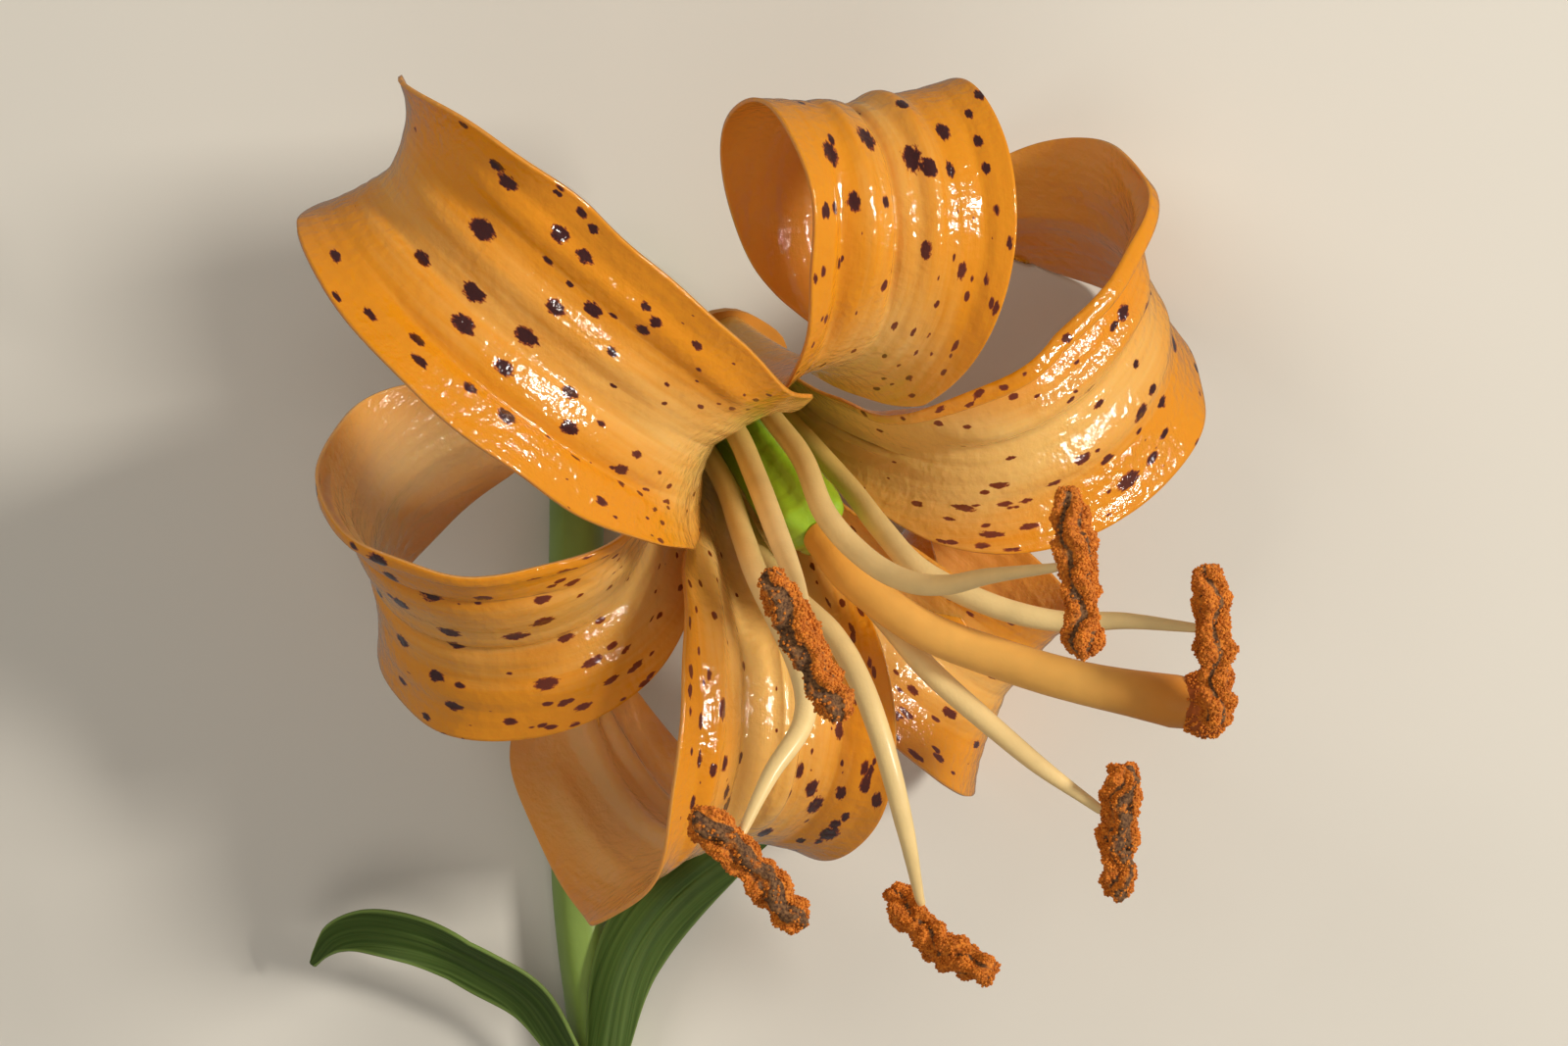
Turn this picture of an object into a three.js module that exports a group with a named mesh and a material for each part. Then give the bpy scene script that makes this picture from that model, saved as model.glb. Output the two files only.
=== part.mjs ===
// A single cut flower of a spotted hybrid lily, lying on its stem, in millimetres with +Z up.
// Seen from above, the stem runs towards -Y and the open flower leans up and to the lower right.
import * as THREE from 'three';

// Driving dimensions, in millimetres and degrees
const RECEPTACLE = [-3.52, 40.95, 13]; // where petals, stamens and pistil start
const TILT = 46; // flower axis away from straight up
const HEADING = -54; // way the axis leans, from +X
const PETAL_THICK = 0.7;
const PETAL_RING = 4.6; // radius of the inner whorl at its base
const SEPAL_RING = 6.0; // radius of the outer whorl at its base
const LEAF_THICK = 0.6;
const STEM_RADIUS = 2.15;
const STEM_REST = 1.85; // height of the stem's centre line, so that it lies pressed flat below
const OVARY_LENGTH = 20.2;
const OVARY_RIB = 0.05; // how far its six ribs stand out and its furrows lie in, as a share
const FILAMENT_RADIUS = 0.95;
const ANTHER_LENGTH = 12.5;
const ANTHER_RADIUS = 1.3;
const GAP = 0.35; // clearance between pieces that grow on one another

// Fineness: rows along a piece, columns to each side of a tepal's midrib, sides of a tube
const TEPAL_ROWS = 26;
const TEPAL_COLUMNS = 5;
const CORD_ROWS = 16;
const FILAMENT_SIDES = 6;
const STYLE_SIDES = 8;
const ANTHER_ROWS = 8;
const ANTHER_SIDES = 8;
const STEM_SIDES = 10;
const STEM_ROWS = 26;
const LEAF_ROWS = 14;

const rad = THREE.MathUtils.degToRad;
const vec = (x, y, z) => new THREE.Vector3(x, y, z);

// A smooth curve and a broken line through [place, value] knots.
function smooth(knots, x) {
  const last = knots.length - 1;
  const at = THREE.MathUtils.clamp(x, knots[0][0], knots[last][0]);
  let i = 0;
  while (i < last - 1 && at >= knots[i + 1][0]) i += 1;
  const rise = (a, b) => (knots[b][1] - knots[a][1]) / (knots[b][0] - knots[a][0]);
  const step = rise(i, i + 1);
  const before = i > 0 ? (rise(i - 1, i) + step) / 2 : step;
  const after = i < last - 1 ? (step + rise(i + 1, i + 2)) / 2 : step;
  const h = knots[i + 1][0] - knots[i][0];
  const u = (at - knots[i][0]) / h;
  const fromStart = (2 * u ** 3 - 3 * u ** 2 + 1) * knots[i][1] + (u ** 3 - 2 * u ** 2 + u) * h * before;
  return fromStart + (3 * u ** 2 - 2 * u ** 3) * knots[i + 1][1] + (u ** 3 - u ** 2) * h * after;
}

function line(knots, x) {
  const last = knots.length - 1;
  let i = 0;
  while (i < last - 1 && x >= knots[i + 1][0]) i += 1;
  const u = THREE.MathUtils.clamp((x - knots[i][0]) / (knots[i + 1][0] - knots[i][0]), 0, 1);
  return THREE.MathUtils.lerp(knots[i][1], knots[i + 1][1], u);
}

// Closed solids from rows of points
function solid(points, triangles) {
  const geometry = new THREE.BufferGeometry();
  const numbers = points.flatMap((p) => p.toArray());
  geometry.setAttribute('position', new THREE.Float32BufferAttribute(numbers, 3));
  geometry.setIndex(triangles.flat());
  geometry.computeVertexNormals();
  return geometry;
}

// A blade: a grid of points given a thickness to both sides and closed round its rim.
// Where it would go through the floor plane it is pressed flat against it.
function blade(grid, thickness, floor) {
  const rows = grid.length;
  const columns = grid[0].length;
  const inside = (i, n) => Math.min(Math.max(i, 0), n - 1);
  const at = (i, j) => grid[inside(i, rows)][inside(j, columns)];
  const faces = [[], []];
  for (let i = 0; i < rows; i += 1) {
    for (let j = 0; j < columns; j += 1) {
      const along = at(i + 1, j).clone().sub(at(i - 1, j));
      const across = at(i, j + 1).clone().sub(at(i, j - 1));
      const normal = along.cross(across).normalize();
      const pair = [1, -1].map((side) => at(i, j).clone().addScaledVector(normal, (side * thickness) / 2));
      const lift = Math.max(0, ...pair.map((p) => -floor.distanceToPoint(p)));
      pair.forEach((p, side) => faces[side].push(p.addScaledVector(floor.normal, lift)));
    }
  }
  const front = (i, j) => i * columns + j;
  const back = (i, j) => rows * columns + i * columns + j;
  const triangles = [];
  const quad = (a, b, c, d) => triangles.push([a, b, c], [a, c, d]);
  for (let i = 0; i < rows - 1; i += 1) {
    for (let j = 0; j < columns - 1; j += 1) {
      quad(front(i, j), front(i + 1, j), front(i + 1, j + 1), front(i, j + 1));
      quad(back(i, j), back(i, j + 1), back(i + 1, j + 1), back(i + 1, j));
    }
    const end = columns - 1;
    quad(front(i + 1, 0), front(i, 0), back(i, 0), back(i + 1, 0));
    quad(front(i, end), front(i + 1, end), back(i + 1, end), back(i, end));
  }
  for (let j = 0; j < columns - 1; j += 1) {
    const end = rows - 1;
    quad(front(0, j), front(0, j + 1), back(0, j + 1), back(0, j));
    quad(front(end, j + 1), front(end, j), back(end, j), back(end, j + 1));
  }
  return solid(faces.flat(), triangles);
}

// A round body: rings of points joined in order, with a fan over each end.
function skin(rings) {
  const sides = rings[0].length;
  const middle = (ring) => ring.reduce((sum, p) => sum.add(p), vec(0, 0, 0)).divideScalar(sides);
  const points = [...rings.flat(), middle(rings[0]), middle(rings[rings.length - 1])];
  const first = rings.length * sides;
  const top = (rings.length - 1) * sides;
  const triangles = [];
  for (let k = 0; k < sides; k += 1) {
    const next = (k + 1) % sides;
    for (let i = 0; i < rings.length - 1; i += 1) {
      const here = i * sides;
      triangles.push([here + k, here + next, here + sides + next]);
      triangles.push([here + k, here + sides + next, here + sides + k]);
    }
    triangles.push([first, next, k], [first + 1, top + k, top + next]);
  }
  return solid(points, triangles);
}

// Frames carried along a path without turning round it, from a first direction across it.
function frames(path, stops, firstAcross) {
  let across = firstAcross.clone();
  return stops.map((t) => {
    const along = path.getTangent(t);
    across = across.clone().addScaledVector(along, -across.dot(along)).normalize();
    return { place: path.getPoint(t), along, across, side: along.clone().cross(across) };
  });
}

// Rings of changing radius along a path, and the tube over them
function ringsAlong(path, stops, sides, firstAcross, radiusAt) {
  return frames(path, stops, firstAcross).map((frame, i) => {
    const radius = radiusAt(stops[i]);
    return Array.from({ length: sides }, (_, k) => {
      const angle = (2 * Math.PI * (k + 0.5)) / sides;
      return frame.place
        .clone()
        .addScaledVector(frame.across, radius * Math.cos(angle))
        .addScaledVector(frame.side, radius * Math.sin(angle));
    });
  });
}

function tube(path, stops, sides, firstAcross, radiusAt) {
  return skin(ringsAlong(path, stops, sides, firstAcross, radiusAt));
}

function pathThrough(points) {
  return new THREE.CatmullRomCurve3(points.map((p) => vec(...p)), false, 'catmullrom', 0.5);
}

// Petals and sepals: share of the greatest half width at each share of the length
const OUTLINE = [
  [0, 0.3],
  [0.12, 0.42],
  [0.3, 0.8],
  [0.45, 0.97],
  [0.58, 1],
  [0.75, 0.86],
  [0.88, 0.55],
  [0.96, 0.22],
  [1, 0.04],
];
// Places along the midrib, in millimetres, where the bends and the channel of a blade are given
const BEND_AT = [0, 14, 22, 32, 45, 60];
const TURN_AT = [10, 30, 50];
const CHANNEL_AT = [0, 18, 30, 45, 60];
const CORNER_SPREAD = 3; // distance along the margin in which a corner falls off to about a third

// Each tepal: azimuth from the flower's low side, length, half width and opening at the base.
// Curl bends it backwards, sway sideways and twist turns it, in degrees for each millimetre.
// Left and right are how far each margin of the channelled blade has turned in, in degrees. Corners
// are where a margin buckles out to a point: which side, the place along and how far. Swells widen it
// gently: which side, the place along, how far and over what distance.
const TEPALS = [
  {
    name: 'petal_upper_left',
    azimuth: 192,
    length: 74,
    half: 9.6,
    open: 8,
    curl: [0.5, 3, 4, 3, 2.3, 6.8, 9],
    sway: [0, 0, -1, -0.8],
    twist: [0, -0.9, 0.4, 0.8],
    left: [55, 45, 35, 32, 80, 50],
    right: [60, 65, 45, 38, 45, 10],
    corners: [[-1, 19.5, 1.5], [1, 19.5, 1.4], [-1, 61, 0.9]],
    swells: [[-1, 54, 1.5, 8]],
  },
  {
    name: 'sepal_top',
    azimuth: 133,
    length: 72,
    half: 8.7,
    open: 12,
    curl: [0.5, 2.5, 5, 5.5, 7.5, 5.5, 6.5],
    sway: [0.4, 0.6, -0.3, 0],
    twist: [0.3, -0.4, 0, 1.2],
    left: [50, 45, 30, 20, 15, 20],
    right: [50, 45, 25, 10, 5, 5],
    corners: [[-1, 18.5, 0.8]],
  },
  {
    name: 'petal_right',
    azimuth: 64,
    length: 70,
    half: 9.6,
    open: 13,
    curl: [0.5, 2, 6.2, 3, 4.4, 5, 5],
    sway: [0.5, 1, -0.3, -0.3],
    twist: [-0.2, 0.2, -1.2, 1.6],
    left: [40, 50, 25, 20, 10, 10],
    right: [50, 30, 5, 20, 35, 30],
  },
  {
    name: 'sepal_lower_right',
    azimuth: -3,
    length: 72,
    half: 8.6,
    open: 12,
    curl: [1, 0.5, 4.5, 8, 8, 7.5, 6.5],
    sway: [0.5, 1.5, 1.1, 0.6],
    twist: [-0.5, 0, -0.8, -0.8],
    left: [65, 70, 30, 20, 15, 5],
    right: [65, 70, 30, 15, 5, 0],
  },
  {
    name: 'petal_bottom',
    azimuth: -56,
    length: 68.5,
    half: 10.2,
    open: 8,
    curl: [0.2, 0, 4, 6, 5, 6, 9.5],
    sway: [-0.5, 0.8, 0, -0.2],
    twist: [-0.8, 0.9, 0.9, 0.8],
    left: [60, 30, 20, 34, 27, 0],
    right: [50, 40, 50, 35, 20, 10],
    corners: [[-1, 45.3, 1.8]],
    swells: [[-1, 62, 1.8, 5]],
  },
  {
    name: 'sepal_left',
    azimuth: -110,
    length: 72,
    half: 9.6,
    open: 12,
    curl: [0.5, 3, 6, 5, 4.5, 5, 5],
    sway: [0, 0.4, 0.8, -0.5],
    twist: [0, 0.3, 0, 1.6],
    left: [65, 30, 15, 10, 5, 15],
    right: [45, 65, 40, 25, 15, -10],
  },
];

// Knots at the given places, closed by one at the blade's end.
function knots(places, values, length) {
  return values.map((value, i) => [i < places.length ? places[i] : length, value]);
}

// The midrib of a tepal in the plane of its azimuth: x outwards, z along the flower's axis.
function midrib(tepal, ring, steps) {
  const fine = 4;
  const step = tepal.length / (steps * fine);
  const curl = knots(BEND_AT, tepal.curl, tepal.length);
  const sway = [[0, 0], ...knots(TURN_AT, tepal.sway, tepal.length)];
  const twist = [[0, 0], ...knots(TURN_AT, tepal.twist, tepal.length)];
  const open = rad(tepal.open);
  const place = vec(ring, 0, 0);
  const along = vec(Math.sin(open), 0, Math.cos(open));
  const inward = vec(-Math.cos(open), 0, Math.sin(open));
  const across = inward.clone().cross(along);
  const list = [{ place: place.clone(), across: across.clone(), inward: inward.clone() }];
  for (let i = 0; i < steps * fine; i += 1) {
    const s = (i + 0.5) * step;
    place.addScaledVector(along, step);
    const bend = rad(line(curl, s)) * step;
    const yaw = rad(line(sway, s)) * step;
    const roll = rad(line(twist, s)) * step;
    const turned = inward.clone().addScaledVector(along, bend).addScaledVector(across, roll);
    along.addScaledVector(inward, -bend).addScaledVector(across, yaw).normalize();
    inward.copy(turned.addScaledVector(along, -turned.dot(along)).normalize());
    across.copy(inward).cross(along);
    if ((i + 1) % fine === 0) {
      list.push({ place: place.clone(), across: across.clone(), inward: inward.clone() });
    }
  }
  return list;
}

// How far a margin's corners and swells push it out at a place along the blade.
function cornerAt(tepal, side, s) {
  let out = 0;
  for (const [own, place, height] of tepal.corners ?? []) {
    if (own === side) out += height * Math.exp(-Math.abs(s - place) / CORNER_SPREAD);
  }
  for (const [own, place, height, spread] of tepal.swells ?? []) {
    if (own === side) out += height * Math.exp(-(((s - place) / spread) ** 2));
  }
  return out;
}

// A tepal's grid of points: each row is an arc across the midrib.
function tepalGrid(tepal, ring, steps, half) {
  const left = knots(CHANNEL_AT, tepal.left, tepal.length);
  const right = knots(CHANNEL_AT, tepal.right, tepal.length);
  return midrib(tepal, ring, steps).map((frame, i) => {
    const s = (tepal.length * i) / steps;
    const even = tepal.half * smooth(OUTLINE, s / tepal.length);
    return Array.from({ length: 2 * half + 1 }, (_, k) => {
      const t = (k - half) / half;
      const width = even + cornerAt(tepal, Math.sign(t), s);
      const turn = Math.max(Math.abs(rad(line(t < 0 ? left : right, s))), 0.001);
      const sign = Math.sign(line(t < 0 ? left : right, s)) || 1;
      const angle = Math.abs(t) * turn;
      return frame.place
        .clone()
        .addScaledVector(frame.across, (Math.sign(t) * width * Math.sin(angle)) / turn)
        .addScaledVector(frame.inward, (sign * width * (1 - Math.cos(angle))) / turn);
    });
  });
}

// Stamens: each filament's route and its anther's middle and way, from the receptacle. The filament
// takes hold of the anther at the grip, a distance along it from its middle.
const STAMENS = [
  {
    route: [[1.3, 2.2, 1.9], [4.9, -2.7, 10], [7.2, -5.9, 14.6], [8.9, -10.1, 19.4], [11.8, -13.3, 22.8],
      [14.8, -15, 25.2], [17.7, -15.3, 27.5], [20.8, -14.6, 31.2], [24.5, -13.1, 37.5]],
    anther: [26.6, -14.3, 38.6],
    along: [0.09, -0.98, 0.18],
    grip: -0.6,
  },
  {
    route: [[3, 0.8, -0.3], [10.3, -7.4, 8.5], [12.9, -10.8, 13.3], [15.7, -14, 17.5], [19.4, -16.1, 20],
      [23.3, -17.5, 21.5], [27, -18.1, 22.4], [31.2, -18, 24.2], [35.5, -18.2, 26.4]],
    anther: [37.3, -19.8, 27.5],
    along: [0.07, -0.97, -0.25],
    grip: -1.2,
  },
  {
    route: [[2, -1.7, -1.8], [9.2, -12.7, 8.2], [14.3, -19, 14.2], [16.9, -22, 15.9], [20.6, -25.3, 16.7],
      [25, -29, 17.4], [29.6, -32.4, 17.4]],
    anther: [31.3, -34.1, 16.5],
    along: [0, -0.83, -0.55],
    grip: -2,
  },
  {
    route: [[-0.8, -2.9, -1.1], [3, -11.6, 9.6], [6.2, -16, 16], [9.5, -19.2, 19.2], [11.6, -22.9, 22],
      [13.4, -28, 23.1], [14.9, -33.9, 22.3], [16.1, -38.2, 21.2]],
    anther: [17.8, -41.2, 20],
    along: [0.58, -0.46, 0.67],
    grip: -2.5,
  },
  {
    route: [[-2.5, -1.5, 1.1], [1.1, -7.5, 9.6], [2.6, -11.6, 16.1], [3.9, -15, 21.7], [6.9, -21.3, 28.4],
      [7.2, -25.2, 30.7], [4.8, -29, 32.9], [3.6, -32.6, 33.7]],
    anther: [3.2, -35.9, 34.5],
    along: [0.64, -0.71, -0.31],
    grip: -2.2,
  },
  {
    route: [[-1.5, 1, 2.6], [1.9, -3.5, 10.1], [3.4, -6.7, 14.6], [5, -10.8, 22.4], [6.5, -14.8, 30.5],
      [7.9, -17.6, 42]],
    anther: [7.3, -19.4, 45],
    along: [0.43, -0.86, -0.27],
    grip: 0,
  },
];
const STYLE_ROUTE = [[8.7, -12, 14.3], [11, -14.9, 16.4], [16.1, -18.6, 17.8], [22, -20.9, 18.7],
  [27.8, -22.6, 20.3], [34.9, -24, 21.5]];
const STYLE_RADIUS = [[0, 1.35], [0.6, 1.55], [0.88, 1.7], [1, 2]];
const STIGMA_RADIUS = [[0, 2], [0.3, 2.5], [0.7, 2.5], [1, 1.4]];
const STIGMA_PLACE = [36.9, -24.2, 21.6];

// Stem and leaves, from the receptacle
const LYING = STEM_REST - RECEPTACLE[2];
const STEM_ROUTE = [[-8.6, -105, LYING], [-8.6, -80, LYING], [-9.2, -55, LYING], [-10.7, -40, LYING],
  [-11, -24, LYING], [-10.9, -8, LYING], [-10.7, 2, LYING], [-10, 7.4, -10.7], [-7.6, 9.4, -9.8]];
const NECK_LENGTH = 10; // straight end of the stem behind the flower
// Radius of the stem at a distance before the receptacle
const STEM_FLARE = [[0, 6.8], [0.8, 6.5], [2, 4.9], [4, 3.3], [6.5, 2.4], [NECK_LENGTH, STEM_RADIUS]];
// Leaves: half the width along each, how far its margins turn up and how it rolls over, in degrees
const LEAVES = [
  {
    name: 'leaf_left',
    route: [[-11.2, -53.6, -9.2], [-14.3, -48.7, -8], [-18.3, -46, -7], [-22.6, -44, -6.5],
      [-27, -43.2, -6.5], [-30, -43.8, -7.2], [-32, -46, -9]],
    across: [0.6, 0.5, 0.6],
    half: [[0, 1.5], [0.25, 2.7], [0.5, 2.4], [0.8, 1.4], [1, 0.3]],
    channel: 35,
    roll: [[0, 0], [0.4, 0], [0.7, 40], [1, 40]],
  },
  {
    name: 'leaf_right',
    route: [[-8.4, -54, -8.4], [-7.3, -48, -8], [-5.6, -44, -8], [-2.8, -40.6, -8.4],
      [0.7, -37.9, -9], [4.5, -36, -9.6]],
    across: [-1, 0, 0.2],
    half: [[0, 1.7], [0.2, 2.7], [0.5, 3.3], [0.8, 2.3], [1, 0.3]],
    channel: 50,
    roll: [[0, 0], [1, 0]],
  },
];

const colours = {
  tepal: new THREE.MeshStandardMaterial({ color: '#e08a1e', roughness: 0.35, metalness: 0 }),
  filament: new THREE.MeshStandardMaterial({ color: '#e6cf8f', roughness: 0.5, metalness: 0 }),
  pollen: new THREE.MeshStandardMaterial({ color: '#b5561c', roughness: 1, metalness: 0 }),
  style: new THREE.MeshStandardMaterial({ color: '#dd9c3c', roughness: 0.4, metalness: 0 }),
  ovary: new THREE.MeshStandardMaterial({ color: '#86a82c', roughness: 0.3, metalness: 0 }),
  leaf: new THREE.MeshStandardMaterial({ color: '#3c5a26', roughness: 0.6, metalness: 0 }),
};

function piece(name, geometry, material, parent) {
  const mesh = new THREE.Mesh(geometry, material);
  mesh.name = name;
  parent.add(mesh);
  return mesh;
}

const flower = new THREE.Group();
flower.position.set(...RECEPTACLE);
flower.rotation.set(0, rad(TILT), rad(HEADING), 'ZYX');
for (const tepal of TEPALS) {
  const ring = tepal.name.startsWith('petal') ? PETAL_RING : SEPAL_RING;
  const turn = rad(tepal.azimuth);
  const up = vec(-Math.sin(rad(TILT)), 0, Math.cos(rad(TILT))).applyAxisAngle(vec(0, 0, 1), -turn);
  const grid = tepalGrid(tepal, ring, TEPAL_ROWS, TEPAL_COLUMNS);
  const geometry = blade(grid, PETAL_THICK, new THREE.Plane(up, RECEPTACLE[2]));
  piece(tepal.name, geometry, colours.tepal, flower).rotation.z = turn;
}

// The ovary is ribbed: every second one of its sides stands out.
const OVARY_OUTLINE = [[0, 1.95], [3, 2.05], [9, 2.4], [15, 2.75], [18, 2.75], [19.5, 2.4],
  [OVARY_LENGTH, 1.7]];
const ovaryRings = OVARY_OUTLINE.map(([height, radius]) =>
  Array.from({ length: 12 }, (_, k) => {
    const angle = (2 * Math.PI * k) / 12;
    const out = radius * (1 + (k % 2 ? -OVARY_RIB : OVARY_RIB));
    return vec(out * Math.cos(angle), out * Math.sin(angle), height);
  }),
);
piece('ovary', skin(ovaryRings), colours.ovary, flower);

// Stamens, style and stem are placed from the receptacle, with the flower's lean in their routes.
const rest = new THREE.Group();
rest.position.set(...RECEPTACLE);
const steps = (count) => Array.from({ length: count + 1 }, (_, i) => i / count);
const sideways = vec(1, 0.7, 0);

// A filament's last point is moved beside its anther at the grip, on the side it comes from.
function besideAnther(stamen) {
  const along = vec(...stamen.along).normalize();
  const hold = vec(...stamen.anther).addScaledVector(along, stamen.grip);
  const side = vec(...stamen.route[stamen.route.length - 1]).sub(hold);
  side.addScaledVector(along, -side.dot(along)).normalize();
  return hold.addScaledVector(side, ANTHER_RADIUS * 1.05 + GAP).toArray();
}

// Radius along a filament, and along an anther as a share of its radius
const TAPER = [[0, 0.8], [0.25, FILAMENT_RADIUS], [0.8, 0.85], [1, 0.45]];
const SWELL = [[0, 0.55], [0.08, 0.95], [0.3, 1.05], [0.75, 1], [0.93, 0.9], [1, 0.5]];

STAMENS.forEach((stamen, i) => {
  const path = pathThrough([...stamen.route.slice(0, -1), besideAnther(stamen)]);
  const filament = tube(path, steps(CORD_ROWS), FILAMENT_SIDES, sideways, (t) => smooth(TAPER, t));
  piece('filament_' + (i + 1), filament, colours.filament, rest);
  const half = ANTHER_LENGTH / 2;
  const straight = pathThrough([[0, 0, -half], [0, 0, half]]);
  const radiusAt = (t) => ANTHER_RADIUS * smooth(SWELL, t);
  const anther = tube(straight, steps(ANTHER_ROWS), ANTHER_SIDES, vec(1, 0, 0), radiusAt);
  const mesh = piece('anther_' + (i + 1), anther, colours.pollen, rest);
  mesh.position.set(...stamen.anther);
  mesh.quaternion.setFromUnitVectors(vec(0, 0, 1), vec(...stamen.along).normalize());
});

const stylePath = pathThrough(STYLE_ROUTE);
const style = tube(stylePath, steps(CORD_ROWS), STYLE_SIDES, sideways, (t) => smooth(STYLE_RADIUS, t));
piece('style', style, colours.style, rest);
const stigmaPath = pathThrough([[-1.2, 0, 0], [2.4, 0, 0]]);
const stigma = tube(stigmaPath, steps(4), 9, vec(0, 1, 0), (t) => smooth(STIGMA_RADIUS, t));
piece('stigma', stigma, colours.pollen, rest).position.set(...STIGMA_PLACE);

// The stem lies flat below and rises at its end into the flared receptacle.
const axis = vec(0, 0, 1).applyEuler(flower.rotation);
const neck = [-NECK_LENGTH, -NECK_LENGTH / 2, 0].map((d) => axis.clone().multiplyScalar(d - GAP).toArray());
const stemPath = pathThrough([...STEM_ROUTE, ...neck]);
const neckSpan = (neck.length - 1) / (STEM_ROUTE.length + neck.length - 1);
const lying = steps(STEM_ROWS).filter((t) => t < 1 - neckSpan - 0.01);
const rising = [10, 8, 6.5, 5, 4, 3, 2, 1.4, 0.8, 0].map((d) => 1 - (neckSpan * d) / NECK_LENGTH);
const stemRadius = (t) => smooth(STEM_FLARE, ((1 - t) / neckSpan) * NECK_LENGTH);
const stemRings = ringsAlong(stemPath, [...lying, ...rising], STEM_SIDES, vec(0, 0, 1), stemRadius);
stemRings.flat().forEach((p) => p.setZ(Math.max(p.z, -RECEPTACLE[2])));
piece('stem', skin(stemRings), colours.leaf, rest);

const surface = new THREE.Plane(vec(0, 0, 1), RECEPTACLE[2]);
for (const leaf of LEAVES) {
  const path = pathThrough(leaf.route);
  const stops = steps(LEAF_ROWS);
  const grid = frames(path, stops, vec(...leaf.across)).map((frame, i) => {
    const angle = rad(line(leaf.roll, stops[i]));
    const across = frame.across.clone().applyAxisAngle(frame.along, angle);
    const up = across.clone().cross(frame.along);
    const width = smooth(leaf.half, stops[i]);
    const turn = rad(leaf.channel);
    return [-1, -0.5, 0, 0.5, 1].map((t) =>
      frame.place
        .clone()
        .addScaledVector(across, (width * Math.sin(t * turn)) / turn)
        .addScaledVector(up, (width * (1 - Math.cos(t * turn))) / turn),
    );
  });
  piece(leaf.name, blade(grid, LEAF_THICK, surface), colours.leaf, rest);
}

const part = new THREE.Group();
part.add(flower, rest);
export default part;
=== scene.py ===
"""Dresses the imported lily: veined tepals, pollen-dusted stamens, pistil, stem and leaves, on a pale floor."""
import math
from functools import partial

import bpy
import numpy as np
from bpy.props import FloatProperty, FloatVectorProperty, IntProperty, PointerProperty
from mathutils import Euler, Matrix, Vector


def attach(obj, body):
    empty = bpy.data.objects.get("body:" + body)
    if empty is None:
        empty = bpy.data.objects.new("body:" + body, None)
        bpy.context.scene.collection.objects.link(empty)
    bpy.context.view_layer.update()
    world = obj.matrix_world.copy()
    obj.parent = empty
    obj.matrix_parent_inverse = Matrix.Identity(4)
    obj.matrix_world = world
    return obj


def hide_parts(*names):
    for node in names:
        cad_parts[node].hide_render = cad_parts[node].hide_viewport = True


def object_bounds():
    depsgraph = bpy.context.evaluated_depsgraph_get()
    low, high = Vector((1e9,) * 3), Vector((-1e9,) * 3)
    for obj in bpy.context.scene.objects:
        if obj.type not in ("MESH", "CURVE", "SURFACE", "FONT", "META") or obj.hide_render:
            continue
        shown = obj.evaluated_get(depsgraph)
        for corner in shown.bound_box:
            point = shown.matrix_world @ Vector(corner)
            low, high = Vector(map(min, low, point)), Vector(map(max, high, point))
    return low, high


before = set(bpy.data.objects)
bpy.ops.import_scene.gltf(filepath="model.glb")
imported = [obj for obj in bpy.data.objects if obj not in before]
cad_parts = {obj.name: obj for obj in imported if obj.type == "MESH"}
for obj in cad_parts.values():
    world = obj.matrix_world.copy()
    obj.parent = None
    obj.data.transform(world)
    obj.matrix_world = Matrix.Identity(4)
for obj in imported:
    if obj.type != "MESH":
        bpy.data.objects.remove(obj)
CAD_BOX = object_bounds()

bl_info = {
    "name": "Lily flower dresser",
    "version": (1, 0, 0),
    "blender": (4, 5, 0),
    "location": "View3D > Sidebar > Lily",
    "description": "Builds the visible pieces of a cut lily around its packed solids",
    "category": "Object",
}

MM = 0.001


def linear(code):
    """An sRGB hex colour as linear red, green and blue."""
    parts = [int(code[i:i + 2], 16) / 255 for i in (0, 2, 4)]
    return tuple(p / 12.92 if p <= 0.04045 else ((p + 0.055) / 1.055) ** 2.4 for p in parts)


# Places on the flower, in millimetres, as the solids have them

RECEPTACLE = np.array([-3.52, 40.95, 13.0])
TILT = 46
HEADING = -54
PETAL_RING = 4.6
SEPAL_RING = 6.0
STEM_REST = 1.85
STEM_RADIUS = 2.15
GAP = 0.35
LEAN = Euler((0, 0, math.radians(HEADING))).to_matrix() @ Euler((0, math.radians(TILT), 0)).to_matrix()
AXIS = np.array(LEAN @ Vector((0, 0, 1)))

# Tepals: share of the greatest half width at each share of the length
OUTLINE = [(0, 0.3), (0.12, 0.42), (0.3, 0.8), (0.45, 0.97), (0.58, 1), (0.75, 0.86), (0.88, 0.55),
           (0.96, 0.22), (1, 0.04)]
BEND_AT = [0, 14, 22, 32, 45, 60]
TURN_AT = [0, 10, 30, 50]  # neither sway nor twist at 0
CHANNEL_AT = [0, 18, 30, 45, 60]
CORNER_SPREAD = 3

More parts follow.
